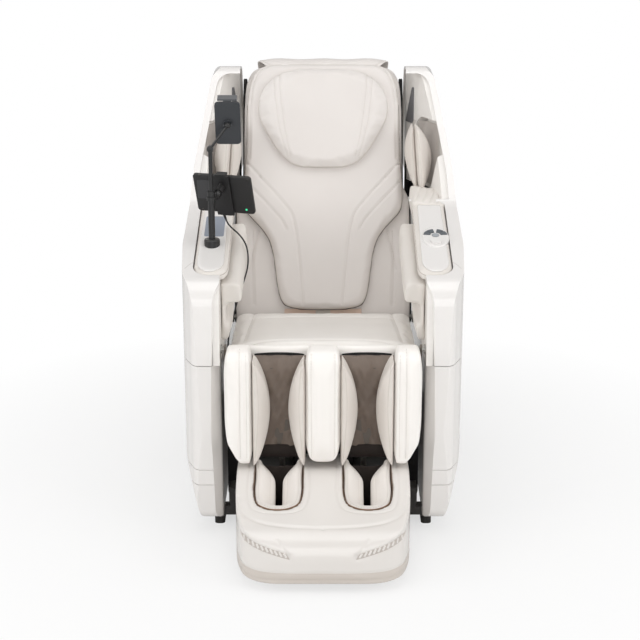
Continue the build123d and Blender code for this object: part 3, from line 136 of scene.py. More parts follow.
wire(
    paint,
    (place, "Object", reach, 0),
    (reach, "Value", fade, "Value"),
    (fade, "Result", only_seen, 0),
    (floor_seen, "Is Camera Ray", only_seen, 1),
    (only_seen, 0, lay, "Fac"),
    (matte, 0, lay, 1),
    (glow, 0, lay, 2),
    (lay, 0, floor_out, "Surface"),
)
floor_mesh.materials.append(floor_paint)

for lamp_name, lamp_at, lamp_to, lamp_size, lamp_watts in (
    ("lamp_left", (-3.0, -1.6, 2.0), (0, 0, 0.7), 2.2, 40.0),
    ("lamp_right", (3.0, -1.6, 2.0), (0, 0, 0.7), 2.2, 40.0),
    ("lamp_top", (0.0, -0.6, 3.6), (0, 0.1, 0.5), 2.4, 27.0),
    ("lamp_front", (0.0, -4.6, 1.2), (0, 0, 0.5), 2.4, 34.0),
):
    lamp = put(lamp_name, bpy.data.lights.new(lamp_name, "AREA"))
    lamp.location = lamp_at
    lamp.rotation_euler = (Vector(lamp_to) - Vector(lamp_at)).to_track_quat("-Z", "Y").to_euler()
    lamp.data.size = lamp_size
    lamp.data.energy = lamp_watts

# ---- Tablet cable ----
# A thin black round lead, 4.5 mm over its rubber jacket. It leaves the tablet's
# rear edge through a short moulded sleeve, hangs down inside the armrest and ends
# at the seat's side.
cable_r = 0.00225
cable_route = [
    (-0.2714, -0.0543, 0.8291),
    (-0.266, -0.047, 0.806),
    (-0.251, -0.049, 0.789),
    (-0.231, -0.056, 0.774),
    (-0.213, -0.066, 0.751),
    (-0.206, -0.076, 0.722),
    (-0.207, -0.085, 0.688),
    (-0.218, -0.093, 0.651),
    (-0.233, -0.099, 0.611),
    (-0.244, -0.103, 0.566),
    (-0.259, -0.105, 0.516),
    (-0.265, -0.106, 0.474),
    (-0.265, -0.107, 0.4373),
]


def soft_line(name, points, thickness, closed=False):
    """A smooth NURBS line through the air, with a round jacket."""
    data = bpy.data.curves.new(name, "CURVE")
    data.dimensions = "3D"
    data.bevel_depth = thickness
    data.bevel_resolution = 3
    data.use_fill_caps = True
    spline = data.splines.new("NURBS")
    spline.points.add(len(points) - 1)
    for point, where in zip(spline.points, points):
        point.co = (*where, 1)
    spline.order_u = 3
    spline.use_endpoint_u = not closed
    spline.use_cyclic_u = closed
    spline.resolution_u = 8
    line = put(name, data)
    return line


def smooth(piece):
    """Shades the piece's faces as one round surface."""
    for face in piece.data.polygons:
        face.use_smooth = True


def as_mesh(line, name):
    """The line's jacket as a mesh piece of its own."""
    bpy.context.view_layer.update()
    data = bpy.data.meshes.new_from_object(line.evaluated_get(bpy.context.evaluated_depsgraph_get()))
    piece = put(name, data)
    smooth(piece)
    bpy.data.objects.remove(line)
    return piece


bare_line = soft_line("cable_line", cable_route, 0.0)
bpy.context.view_layer.update()
bare_mesh = bpy.data.meshes.new_from_object(bare_line.evaluated_get(bpy.context.evaluated_depsgraph_get()))
cable_path = [tuple(v.co) for v in bare_mesh.vertices]
bpy.data.objects.remove(bare_line)
cable = as_mesh(soft_line("cable_jacket", cable_route, cable_r), "tablet_lead")


def new_finish(name):
    """A material with its Principled shader ready."""
    finish = bpy.data.materials.new(name)
    finish.use_nodes = True
    return finish, finish.node_tree, finish.node_tree.nodes["Principled BSDF"]


def effect_group(name, inputs, outputs):
    """A node group with named float or colour sockets."""
    group = bpy.data.node_groups.new(name, "ShaderNodeTree")
    for label, value in inputs:
        kind = "NodeSocketFloat" if isinstance(value, (int, float)) else "NodeSocketColor"
        socket = group.interface.new_socket(name=label, in_out="INPUT", socket_type=kind)
        socket.default_value = value
    for label, kind in outputs:
        group.interface.new_socket(name=label, in_out="OUTPUT", socket_type=kind)
    return group, group.nodes.new("NodeGroupInput"), group.nodes.new("NodeGroupOutput")


# Fine mottling of a moulded or rubber surface: a slow change of shade, a fine
# speckle in the gloss, light dust on faces that look up, and a faint grain.
mould, m_in, m_out = effect_group(
    "moulded surface",
    [
        ("Color", (0.8, 0.8, 0.8, 1)), ("Shade", (0.7, 0.7, 0.7, 1)), ("Roughness", 0.3), ("Spread", 0.08),
        ("Grain", 400.0), ("Dust", 0.05)
    ],
    [("Color", "NodeSocketColor"), ("Roughness", "NodeSocketFloat"), ("Height", "NodeSocketFloat")],
)
m_place = add_node(mould, "TexCoord")
m_slow = add_node(mould, "TexNoise", {"Scale": 5.0, "Detail": 4.0})
m_fine = add_node(mould, "TexNoise", {"Detail": 2.0})
m_mix = add_node(mould, "Mix", data_type="RGBA")
m_up = add_node(mould, "SeparateXYZ")
m_dust = add_node(mould, "Math", operation="MULTIPLY", use_clamp=True)
m_dusty = add_node(mould, "Mix", {"B": (0.62, 0.6, 0.57, 1)}, data_type="RGBA")
m_gap = add_node(mould, "Math", operation="MULTIPLY_ADD")
m_centre = add_node(mould, "Math", {1: 0.5}, operation="SUBTRACT")
m_geo = add_node(mould, "NewGeometry")
wire(
    mould,
    (m_place, "Object", m_slow, "Vector"),
    (m_place, "Object", m_fine, "Vector"),
    (m_in, "Grain", m_fine, "Scale"),
    (m_slow, "Fac", m_mix, "Factor"),
    (m_in, "Color", m_mix, "A"),
    (m_in, "Shade", m_mix, "B"),
    (m_geo, "Normal", m_up, 0),
    (m_up, "Z", m_dust, 0),
    (m_in, "Dust", m_dust, 1),
    (m_dust, 0, m_dusty, "Factor"),
    (m_mix, "Result", m_dusty, "A"),
    (m_dusty, "Result", m_out, "Color"),
    (m_fine, "Fac", m_centre, 0),
    (m_centre, 0, m_gap, 0),
    (m_in, "Spread", m_gap, 1),
    (m_in, "Roughness", m_gap, 2),
    (m_gap, 0, m_out, "Roughness"),
    (m_fine, "Fac", m_out, "Height"),
)


def linear(red, green, blue):
    """A colour given as 0-255 screen values, as the shader's own numbers."""
    tone = [(c / 255 / 12.92) if c <= 10 else ((c / 255 + 0.055) / 1.055) ** 2.4 for c in (red, green, blue)]
    return (*tone, 1)


def skinned(name, effect, values, bump, relief_depth):
    """A material whose colour, gloss and relief come from a shared surface effect."""
    finish, tree, shader = new_finish(name)
    skin = tree.nodes.new("ShaderNodeGroup")
    skin.node_tree = effect
    for label, value in values.items():
        skin.inputs[label].default_value = value
    relief = add_node(tree, "Bump", {"Strength": bump, "Distance": relief_depth})
    wire(
        tree,
        (skin, "Color", shader, "Base Color"),
        (skin, "Roughness", shader, "Roughness"),
        (skin, "Height", relief, "Height"),
        (relief, "Normal", shader, "Normal"),
    )
    return finish, shader


def moulded_finish(
    name,
    colour,
    shade,
    roughness,
    spread,
    grain,
    dust,
    bump,
    coat=0.0,
    coat_roughness=0.1,
    metallic=0.0,
    specular=0.5,
):
    """Plastic, rubber or painted metal: spread varies the roughness, grain is the speckle's scale."""
    values = {"Color": linear(*colour), "Shade": linear(*shade)}
    values |= {"Roughness": roughness, "Spread": spread, "Grain": grain, "Dust": dust}
    finish, shader = skinned(name, mould, values, bump, 0.0006)
    shader.inputs["Coat Weight"].default_value = coat
    shader.inputs["Coat Roughness"].default_value = coat_roughness
    shader.inputs["Metallic"].default_value = metallic
    shader.inputs["Specular IOR Level"].default_value = specular
    return finish


def coat_with(piece, finish):
    """The piece wears one finish all over."""
    piece.data.materials.clear()
    piece.data.materials.append(finish)
    return piece


def coat_nodes(finish, *nodes):
    """The CAD nodes wear the finish."""
    for node in nodes:
        coat_with(cad[node], finish)


cable_rubber = moulded_finish("black_cable_jacket", (22, 22, 23), (30, 29, 29), 0.5, 0.1, 900.0, 0.03, 0.25)
coat_with(cable, cable_rubber)
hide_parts("tablet_cable")


def mesh_of(name, body):
    """The finished mesh of a body built face by face."""
    data = bpy.data.meshes.new(name)
    body.to_mesh(data)
    body.free()
    return data


def turned(name, rings, at, axis, steps=24):
    """A turned piece: (distance along the axis, radius) rings, closed at both ends."""
    pole = Vector(axis).normalized()
    turn = Vector((0, 0, 1)).rotation_difference(pole)
    shell = bmesh.new()
    loops = []
    for along, radius in rings:
        loop = []
        for i in range(steps):
            angle = 2 * pi * i / steps
            spot = turn @ Vector((radius * cos(angle), radius * sin(angle), along))
            loop.append(shell.verts.new(Vector(at) + spot))
        loops.append(loop)
    for low, high in zip(loops, loops[1:]):
        for i in range(steps):
            j = (i + 1) % steps
            shell.faces.new((low[i], low[j], high[j], high[i]))
    shell.faces.new(list(reversed(loops[0])))
    shell.faces.new(loops[-1])
    data = mesh_of(name, shell)
    for face in data.polygons:
        face.use_smooth = len(face.vertices) == 4
    return put(name, data)


leaving = Vector(cable_path[0]) - Vector(cable_path[4])
relief_sleeve = turned(
    "cable_sleeve",
    [
        (0.004, 0.0036), (0.001, 0.0041), (-0.004, 0.0038), (-0.005, 0.0031), (-0.007, 0.0035),
        (-0.009, 0.0029), (-0.011, 0.0033), (-0.013, 0.0027), (-0.016, 0.0024)
    ],
    cable_route[0],
    leaving,
)
coat_with(relief_sleeve, cable_rubber)
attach(relief_sleeve, "tablet")

# ---- Housings ----
# Injection-moulded ABS shells and covers in warm white, polished in the tool and
# lacquered, so they carry a clear coat over a very slight waviness.
lacquer = moulded_finish(
    "ivory_lacquer", (234, 231, 229), (229, 226, 223), 0.22, 0.05, 240.0, 0.02, 0.04, coat=0.55,
    coat_roughness=0.12
)
coat_nodes(
    lacquer, "left_upper_shell", "right_upper_shell", "left_side_cover", "right_side_cover",
    "left_armrest_cover", "right_armrest_cover"
)
shell_satin = moulded_finish(
    "ivory_satin_shell", (236, 233, 229), (229, 225, 220), 0.38, 0.08, 500.0, 0.02, 0.1
)
coat_nodes(shell_satin, "back_shell", "left_inner_liner", "right_inner_liner")

# ---- Chassis ----
# A welded steel frame in dark powder coat, its floor pan and seat pan of pressed
# sheet, rubber feet, and two transport wheels with rubber tyres at the rear.
powder = moulded_finish("dark_powder_coat", (58, 56, 54), (46, 45, 44), 0.55, 0.14, 1100.0, 0.18, 0.5)
coat_nodes(powder, "base_frame", "seat_pan")
foot_rubber = moulded_finish(
    "foot_rubber", (40, 39, 38), (52, 50, 48), 0.8, 0.1, 700.0, 0.22, 0.5, specular=0.3
)
coat_nodes(foot_rubber, "rubber_feet")
tyre_rubber = moulded_finish(
    "tyre_rubber", (34, 34, 34), (48, 47, 45), 0.74, 0.12, 800.0, 0.15, 0.5, specular=0.35
)
coat_nodes(tyre_rubber, "left_transport_wheel", "right_transport_wheel")

# ---- Bare steel ----
# Ground steel rods, pins and rails: fine marks run round the bar, with a little
# darkening where grease has dried.
ground, g_in, g_out = effect_group(
    "ground steel",
    [("Color", (0.6, 0.6, 0.6, 1)), ("Stain", (0.4, 0.38, 0.35, 1)), ("Roughness", 0.28)],
    [("Color", "NodeSocketColor"), ("Roughness", "NodeSocketFloat"), ("Height", "NodeSocketFloat")],
)
g_place = add_node(ground, "TexCoord")
g_stretch = add_node(ground, "Mapping", {"Scale": (60, 60, 2200)})
g_marks = add_node(ground, "TexNoise", {"Scale": 1.0, "Detail": 3.0})
g_slow = add_node(ground, "TexNoise", {"Scale": 26.0})
g_mix = add_node(ground, "Mix", data_type="RGBA")
g_rough = add_node(ground, "Math", {1: 0.14}, operation="MULTIPLY_ADD")
wire(
    ground,
    (g_place, "Object", g_stretch, "Vector"),
    (g_stretch, "Vector", g_marks, "Vector"),
    (g_place, "Object", g_slow, "Vector"),
    (g_slow, "Fac", g_mix, "Factor"),
    (g_in, "Color", g_mix, "A"),
    (g_in, "Stain", g_mix, "B"),
    (g_mix, "Result", g_out, "Color"),
    (g_marks, "Fac", g_rough, 0),
    (g_in, "Roughness", g_rough, 2),
    (g_rough, 0, g_out, "Roughness"),
    (g_marks, "Fac", g_out, "Height"),
)


def steel_finish(name, colour, stain, roughness, bump):
    """Bare metal with grinding marks."""
    values = {"Color": linear(*colour), "Stain": linear(*stain), "Roughness": roughness}
    finish, shader = skinned(name, ground, values, bump, 0.0002)
    shader.inputs["Metallic"].default_value = 1.0
    return finish


ground_steel = steel_finish("ground_steel", (186, 186, 184), (150, 146, 138), 0.22, 0.3)
coat_nodes(ground_steel, "pivot_pins", "left_guide_rail", "right_guide_rail", "footrest_slide_rods")

# ---- Massage carriage ----
# A die-cast carriage with its motor, two forged kneading arms and four nylon
# rollers, sealed inside the backrest.
cast_grey = moulded_finish(
    "cast_carriage", (96, 98, 100), (80, 81, 83), 0.45, 0.15, 600.0, 0.08, 0.6, metallic=0.6
)
coat_nodes(cast_grey, "massage_carriage")
for node in ("left_kneading_arm", "right_kneading_arm"):
    coat_with(cad[node], steel_finish(node + "_steel", (128, 128, 128), (98, 96, 92), 0.36, 0.5))
nylon = moulded_finish("roller_nylon", (196, 194, 188), (176, 173, 166), 0.46, 0.1, 500.0, 0.04, 0.2)
coat_nodes(
    nylon, "left_upper_roller", "right_upper_roller", "left_lower_roller", "right_lower_roller",
    "left_foot_roller", "right_foot_roller"
)

# ---- Control box and air pump ----
# Two closed boxes under the seat: a folded steel case in dark enamel, and a
# moulded pump housing.
case_enamel = moulded_finish("case_enamel", (70, 71, 73), (60, 60, 62), 0.5, 0.1, 900.0, 0.16, 0.4)
coat_nodes(case_enamel, "control_box")
pump_plastic = moulded_finish("pump_plastic", (44, 44, 46), (36, 36, 38), 0.58, 0.12, 700.0, 0.16, 0.5)
coat_nodes(pump_plastic, "air_pump")

# ---- Speakers ----
# Slim grey plastic wedges let into the inner faces of the shoulder wings.
speaker_grey = moulded_finish("speaker_grey", (122, 122, 125), (104, 104, 107), 0.5, 0.1, 1400.0, 0.06, 0.6)
coat_nodes(speaker_grey, "shoulder_speakers")

# ---- Keypad ----
# A white oval housing on the left armrest with a fan of slate push keys round a
# start key; each key is a separate moulding with a satin top.
coat_nodes(lacquer, "keypad_housing")
slate = moulded_finish(
    "slate_keys", (84, 91, 98), (70, 76, 83), 0.3, 0.08, 900.0, 0.03, 0.12, coat=0.3, coat_roughness=0.2
)
coat_nodes(slate, "key_back_up", "key_back_down", "key_legs_up", "key_legs_down")
start_grey = moulded_finish(
    "start_key_grey", (168, 172, 176), (150, 154, 159), 0.26, 0.06, 900.0, 0.02, 0.1, coat=0.4
)
coat_nodes(start_grey, "key_start")

# ---- Device stand ----
# A clamped post and thinner mast in black satin lacquer, with a tablet on one
# ball joint and a sprung phone holder on the other.
stand_black = moulded_finish(
    "stand_black", (17, 17, 18), (24, 24, 25), 0.36, 0.1, 700.0, 0.05, 0.15, coat=0.15
)
coat_nodes(stand_black, "stand_post", "phone_arm")
holder_grey = moulded_finish("holder_grey", (52, 55, 60), (44, 47, 51), 0.42, 0.1, 900.0, 0.05, 0.35)
coat_nodes(holder_grey, "phone_holder")
jaw_grey = moulded_finish("jaw_grey", (96, 98, 101), (84, 86, 89), 0.44, 0.1, 900.0, 0.05, 0.35)
coat_nodes(jaw_grey, "phone_jaw")
tablet_black = moulded_finish("tablet_black", (20, 19, 20), (27, 26, 27), 0.46, 0.1, 1300.0, 0.05, 0.4)
coat_nodes(tablet_black, "tablet")

# ---- Leg frame and footrest shell ----
# A moulded carrier behind the calf pads, and the footrest's polished shell.
carrier = moulded_finish("carrier_taupe", (112, 104, 96), (92, 85, 78), 0.55, 0.1, 500.0, 0.06, 0.4)
coat_nodes(carrier, "calf_frame")
coat_nodes(lacquer, "footrest_shell")

# ---- Backrest underlay ----
# A foam slab in cream upholstery leather, drawn tight over the back shell. Its
# cover is sewn along both sides and puffs a little between the seams.


def hide_effect():
    """Leather: pebbled grain, soft wrinkles, a slow change of shade and a duller bottom to each crease."""
    group, inside, outside = effect_group(
        "hide grain",
        [
            ("Color", (0.8, 0.8, 0.8, 1)), ("Shade", (0.6, 0.6, 0.6, 1)), ("Roughness", 0.5),
            ("Grain", 420.0), ("Wrinkle", 0.5)
        ],
        [("Color", "NodeSocketColor"), ("Roughness", "NodeSocketFloat"), ("Height", "NodeSocketFloat")],
    )
    place = add_node(group, "TexCoord")
    pebble = add_node(group, "TexVoronoi", feature="DISTANCE_TO_EDGE")
    slow = add_node(group, "TexNoise", {"Scale": 7.0, "Detail": 3.0})
    wrinkle = add_node(group, "TexNoise", {"Scale": 34.0, "Detail": 5.0, "Distortion": 0.6})
    level = add_node(group, "Math", {1: 0.12}, operation="MINIMUM")
    scaled = add_node(group, "Math", {1: 4.0}, operation="MULTIPLY")
    folds = add_node(group, "Math", operation="MULTIPLY")
    height = add_node(group, "Math", operation="ADD")
    tone = add_node(group, "Mix", data_type="RGBA")
    depth = add_node(group, "Math", {1: 0.16}, operation="MULTIPLY_ADD")
    wire(
        group,
        (place, "Object", pebble, "Vector"),
        (place, "Object", slow, "Vector"),
        (place, "Object", wrinkle, "Vector"),
        (inside, "Grain", pebble, "Scale"),
        (pebble, "Distance", level, 0),
        (level, 0, scaled, 0),
        (wrinkle, "Fac", folds, 0),
        (inside, "Wrinkle", folds, 1),
        (scaled, 0, height, 0),
        (folds, 0, height, 1),
        (height, 0, outside, "Height"),
        (slow, "Fac", tone, "Factor"),
        (inside, "Color", tone, "A"),
        (inside, "Shade", tone, "B"),
        (tone, "Result", outside, "Color"),
        (wrinkle, "Fac", depth, 0),
        (inside, "Roughness", depth, 2),
        (depth, 0, outside, "Roughness"),
    )
    return group


hide = hide_effect()


def leather_finish(name, colour, shade, roughness, grain=420.0, wrinkle=0.5, bump=0.22, sheen=0.08):
    """Upholstery leather of one colour."""
    values = {"Color": linear(*colour), "Shade": linear(*shade)}
    values |= {"Roughness": roughness, "Grain": grain, "Wrinkle": wrinkle}
    finish, shader = skinned(name, hide, values, bump, 0.0008)
    shader.inputs["Specular IOR Level"].default_value = 0.42
    shader.inputs["Sheen Weight"].default_value = sheen
    return finish


cream_hide = leather_finish("cream_leather", (226, 221, 217), (218, 212, 208), 0.42)
piping_hide = leather_finish(
    "piping_leather", (218, 212, 204), (206, 199, 190), 0.4, grain=900.0, wrinkle=0.2, bump=0.15
)
thread = leather_finish(
    "sewing_thread", (208, 202, 193), (196, 189, 179), 0.6, grain=2400.0, wrinkle=0.1, bump=0.3, sheen=0.2
)


def apply_all(piece):
    """Bakes the piece's modifiers into its mesh."""
    bpy.context.view_layer.update()
    baked = bpy.data.meshes.new_from_object(piece.evaluated_get(bpy.context.evaluated_depsgraph_get()))
    old = piece.data
    piece.modifiers.clear()
    piece.data = baked
    bpy.data.meshes.remove(old)


def corners(piece):
    """The piece's points as an array."""
    spots = np.empty(len(piece.data.vertices) * 3)
    piece.data.vertices.foreach_get("co", spots)
    return spots.reshape(-1, 3)


def move_corners(piece, spots):
    piece.data.vertices.foreach_set("co", spots.ravel())
    piece.data.update()


def facing(piece):
    """The outward direction at each point."""
    ways = np.empty(len(piece.data.vertices) * 3)
    piece.data.vertices.foreach_get("normal", ways)
    return ways.reshape(-1, 3)


def alter(piece, kind, **settings):
    """Gives the piece a modifier with its settings."""
    change = piece.modifiers.new(kind.lower(), kind)
    for label, setting in settings.items():
        setattr(change, label, setting)


def reskin(piece, cell, rounds):
    """Meshes the piece evenly and wears its edges round."""
    alter(piece, "REMESH", mode="VOXEL", voxel_size=cell)
    alter(piece, "SMOOTH", factor=0.5, iterations=rounds)
    apply_all(piece)


def foam_blank(name, source, cell, rounds, pull_in):
    """A foam core cut from a mesh: evenly meshed, its edges worn round, a little under size."""
    piece = put(name, source.copy())
    reskin(piece, cell, rounds)
    move_corners(piece, corners(piece) - facing(piece) * pull_in)
    return piece


blow_frames = 20


def upholster(piece, cap, pressure=4.0):
    """The foam pushes the cover outward, never further than cap, then the cover is meshed finer."""
    start = corners(piece)
    outward = facing(piece)
    cloth = piece.modifiers.new("cover", "CLOTH")
    cover = cloth.settings
    cover.quality = 4
    cover.mass = 0.4
    cover.tension_stiffness = 12
    cover.compression_stiffness = 12
    cover.bending_stiffness = 0.8
    cover.use_pressure = True
    cover.uniform_pressure_force = pressure
    cover.effector_weights.gravity = 0
    cloth.collision_settings.use_collision = False
    cloth.point_cache.frame_start = 1
    cloth.point_cache.frame_end = blow_frames
    for moment in range(1, blow_frames + 1):
        bpy.context.scene.frame_set(moment)
    apply_all(piece)
    bpy.context.scene.frame_set(1)
    blown = corners(piece)
    swell = np.clip(((blown - start) * outward).sum(axis=1), -0.2 * cap, cap)
    move_corners(piece, start + outward * swell[:, None])
    alter(piece, "SMOOTH", factor=0.5, iterations=3)
    alter(piece, "SUBSURF", levels=1, render_levels=1)
    apply_all(piece)
    smooth(piece)
    return piece


def cushion(name, source, cell, rounds, pull_in, cap, pressure):
    """A foam core cut from a mesh, in its swelling cover."""
    return upholster(foam_blank(name, source, cell, rounds, pull_in), cap, pressure)


def hull_of(piece):
    return BVHTree.FromPolygons(
        [v.co for v in piece.data.vertices], [f.vertices for f in piece.data.polygons]
    )


def even(fine, pitch):
    """A line of straight runs, as evenly spaced points."""
    out, left = [fine[0]], pitch
    for a, b in zip(fine, fine[1:]):
        span = (b - a).length
        while span >= left:
            a = a + (b - a) * (left / span)
            out.append(a)
            span, left = (b - a).length, pitch
        left -= span
    return out


def walk(points, pitch, closed=False):
    """Evenly spaced points along a smooth curve through the given points."""
    spots = [Vector(p) for p in points]
    if closed:
        ring = [spots[-1], *spots, spots[0], spots[1]]
    else:
        ring = [spots[0] * 2 - spots[1], *spots, spots[-1] * 2 - spots[-2]]
    fine = []
    for a, b, c, d in zip(ring, ring[1:], ring[2:], ring[3:]):
        steps = max(2, int((c - b).length / pitch * 2))
        for i in range(steps):
            t = i / steps
            bend = (2 * a - 5 * b + 4 * c - d) * t * t
            twist = (3 * b - a - 3 * c + d) * t**3
            fine.append(0.5 * (2 * b + (c - a) * t + bend + twist))
    fine.append(spots[0] if closed else spots[-1])
    return even(fine, pitch)


seam_pitch = 0.0015  # how close the points of a seam's line lie
weld_pitch = 0.002  # the same for a weld or a moulded groove
look_from = 0.5  # how far before its place a point starts to look for the surface


def drop_on(piece, line, way):
    """The line laid on the piece's surface, looking along way; points that miss go to the nearest spot."""
    hull = hull_of(piece)
    look = Vector(way).normalized()
    laid = []
    for spot in line:
        found, face_way, _, _ = hull.ray_cast(spot - look * look_from, look)
        if found is None:
            found, face_way, _, _ = hull.find_nearest(spot)
        laid.append((found, face_way))
    return laid


def press_seam(piece, laid, width, depth):
    """Draws a sewn channel into the piece along a line laid on it."""
    spots, ways = corners(piece), facing(piece)
    line = np.array([p for p, _ in laid])
    low, high = line.min(0) - 4 * width, line.max(0) + 4 * width
    near = np.where(((spots > low) & (spots < high)).all(1))[0]
    for chunk in np.array_split(near, max(1, len(near) // 4000)):
        gap = np.sqrt(((spots[chunk, None] - line[None]) ** 2).sum(2).min(1))
        spots[chunk] -= ways[chunk] * (depth * np.exp(-((gap / width) ** 2)))[:, None]
    move_corners(piece, spots)


def dress(piece, finish, body, stands_for=None):
    """The piece's finish, the body it rides on and the node it stands for."""
    coat_with(piece, finish)
    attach(piece, body)
    if stands_for:
        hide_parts(stands_for)


def sew(name, laid, stitch=0.0045, gap=0.002, thick=0.0005, sunk=0.0, body=None):
    """A row of thread stitches along a laid line."""
    seam = bmesh.new()
    spots = [p - n * sunk for p, n in laid]
    ways = [n for _, n in laid]
    i = 0
    while i < len(spots) - 1:
        j, run = i, 0.0
        while j < len(spots) - 1 and run < stitch:
            run += (spots[j + 1] - spots[j]).length
            j += 1
        a, b, up = spots[i], spots[j], (ways[i] + ways[j]).normalized()
        along = (b - a).normalized()
        side = along.cross(up).normalized() * thick
        lift = up * thick
        ring = []
        for t, fat, rise in ((0.0, 0.35, 0.0), (0.3, 1.0, 0.9), (0.7, 1.0, 0.9), (1.0, 0.35, 0.0)):
            centre = a.lerp(b, t) + lift * rise
            around = (side, lift, -side, -lift)
            ring.append([seam.verts.new(centre + way * fat) for way in around])
        for low, high in zip(ring, ring[1:]):
            for k in range(4):
                seam.faces.new((low[k], low[(k + 1) % 4], high[(k + 1) % 4], high[k]))
        seam.faces.new(ring[0][::-1])
        seam.faces.new(ring[-1])
        skip = 0.0
        while j < len(spots) - 1 and skip < gap:
            skip += (spots[j + 1] - spots[j]).length
            j += 1
        i = max(j, i + 1)
    row = put(name, mesh_of(name, seam))
    smooth(row)
    dress(row, thread, body)
    return row


def sew_channel(piece, name, line, way, width, depth, body):
    """A sewn channel: the line is drawn into the piece and a row of stitches laid in it."""
    press_seam(piece, drop_on(piece, line, way), width, depth)
    sew(name, drop_on(piece, line, way), body=body)


def bead(name, laid, radius, body, finish, closed=False, sunk=0.3):
    """Leather piping sewn into a seam: a round cord under the cover."""
    points = [tuple(p - n * radius * sunk) for p, n in laid]
    if closed and (Vector(points[0]) - Vector(points[-1])).length < 0.004:
        points = points[:-1]
    cord = as_mesh(soft_line(name + "_line", points, radius, closed), name)
    dress(cord, finish, body)
    return cord


lean = radians(22.0)
back_foot = Vector((0, 0.2, 0.458))
up_back = Vector((0, sin(lean), cos(lean)))
out_back = Vector((0, -cos(lean), sin(lean)))


def on_back(x, up, out=0.0):
    """A point of the backrest: across, up its slope and out from its front plane, in metres."""
    return back_foot + Vector((x, 0, 0)) + up_back * up + out_back * out


def prism(ring, low, high):
    """A closed body between two copies of a flat outline; low and high turn its points into places."""
    body = bmesh.new()
    first = [body.verts.new(low(a, b)) for a, b in ring]
    second = [body.verts.new(high(a, b)) for a, b in ring]
    body.faces.new(first)
    body.faces.new(second[::-1])
    for i in range(len(ring)):
        j = (i + 1) % len(ring)
        body.faces.new((first[j], first[i], second[i], second[j]))
    bmesh.ops.recalc_face_normals(body, faces=body.faces[:])
    return mesh_of("prism", body)


def both_halves(half, pitch=0.006):
    """A symmetrical outline from one smooth half of it, given from middle to middle."""
    right = walk([(a, b, 0) for a, b in half], pitch)
    return [(p.x, p.y) for p in right] + [(-p.x, p.y) for p in reversed(right)][1:-1]


def slab(half, n0, n1):
    """A slab on the backrest from half its outline, (x, up), between two distances from its front plane."""
    return prism(both_halves(half), lambda x, up: on_back(x, up, n0), lambda x, up: on_back(x, up, n1))


def back_seams(piece, name, runs, stand_off, width, depth):
    """Sewn channels on both halves of a cushion of the backrest, given as (across, up) runs."""
    for side, letter in ((-1, "r"), (1, "l")):
        for k, run in enumerate(runs):
            line = walk([on_back(side * x, u, stand_off) for x, u in run], seam_pitch)
            sew_channel(piece, f"{name}_seam_{letter}{k}", line, -out_back, width, depth, "backrest")


underlay_half = [
    (0.0, -0.036), (0.2, -0.036), (0.243, -0.03), (0.2585, -0.01), (0.2605, 0.05), (0.2605, 0.2),
    (0.2605, 0.32), (0.255, 0.36), (0.2415, 0.385), (0.2385, 0.42), (0.2385, 0.54), (0.2365, 0.66),
    (0.225, 0.716), (0.2, 0.744), (0.15, 0.7535), (0.08, 0.756), (0.0, 0.756)
]
underlay = cushion("back_underlay", slab(underlay_half, -0.0215, 0.0233), 0.007, 6, 0.002, 0.005, 3.0)
underlay_seams = (
    # from the pad's waist to the seat, and along the cover's lower edge
    [(0.189, 0.249), (0.206, 0.19), (0.218, 0.135)],
    [(0.206, 0.25), (0.209, 0.15), (0.206, 0.03)],
)
back_seams(underlay, "underlay", underlay_seams, 0.05, 0.005, 0.003)
dress(underlay, cream_hide, "backrest", stands_for="back_cushion")

# ---- Back pad ----
# The pad behind the sitter's back: foam under cream leather, shaped like a bottle
# and zipped to the underlay along a dark tape, whose dark brown also paints the
# shadow in the gap at the pad's foot. Sewn lines fan out to the shoulders.
# Dark brown tape whose colour also paints the shadow in the gap at the pad's foot.
umber_tape_painted_gap_shade = leather_finish(
    "umber_zip_tape_painted_gap_shade", (74, 58, 48), (58, 45, 38), 0.62, grain=1500.0, wrinkle=0.2, bump=0.3, sheen=0.2
)


def girdle(source, at, way, pitch=0.004):
    """The longest line in which a plane cuts a mesh, as evenly spaced points."""
    cut = bmesh.new()
    cut.from_mesh(source)
    bmesh.ops.remove_doubles(cut, verts=cut.verts[:], dist=1e-6)
    everything = cut.verts[:] + cut.edges[:] + cut.faces[:]
    got = bmesh.ops.bisect_plane(cut, geom=everything, plane_co=at, plane_no=way)
    left = {edge for edge in got["geom_cut"] if isinstance(edge, bmesh.types.BMEdge)}
    lines = []
    while left:
        edge = left.pop()
        chain = list(edge.verts)
        while True:
            step = next((e for e in chain[-1].link_edges if e in left), None)
            if step is None:
                break
            left.discard(step)
            chain.append(step.other_vert(chain[-1]))
        lines.append([v.co.copy() for v in chain])
    cut.free()
    longest = max(lines, key=lambda line: sum((b - a).length for a, b in zip(line, line[1:])))
    return even(longest, pitch)


def nearest_on(piece, line):
    """The line moved to the nearest spots of the piece's surface."""
    hull = hull_of(piece)
    return [hull.find_nearest(spot)[:2] for spot in line]


def pipe_edge(piece, name, core, at, way, width, depth, radius, body, finish, sunk=0.3):
    """Piping in a channel pressed round the piece where a plane cuts its core."""
    rim = nearest_on(piece, girdle(core, at, way))
    press_seam(piece, rim, width, depth)
    bead(name, nearest_on(piece, [p for p, _ in rim]), radius, body, finish, closed=True, sunk=sunk)


def hold_behind(piece, at, way):
    """What swelled past a plane is pressed back onto it, as a board behind the cushion does."""
    spots = corners(piece)
    look = np.array(Vector(way).normalized())
    deep = (spots - np.array(at)) @ look
    spots -= np.maximum(deep, 0)[:, None] * look
    move_corners(piece, spots)


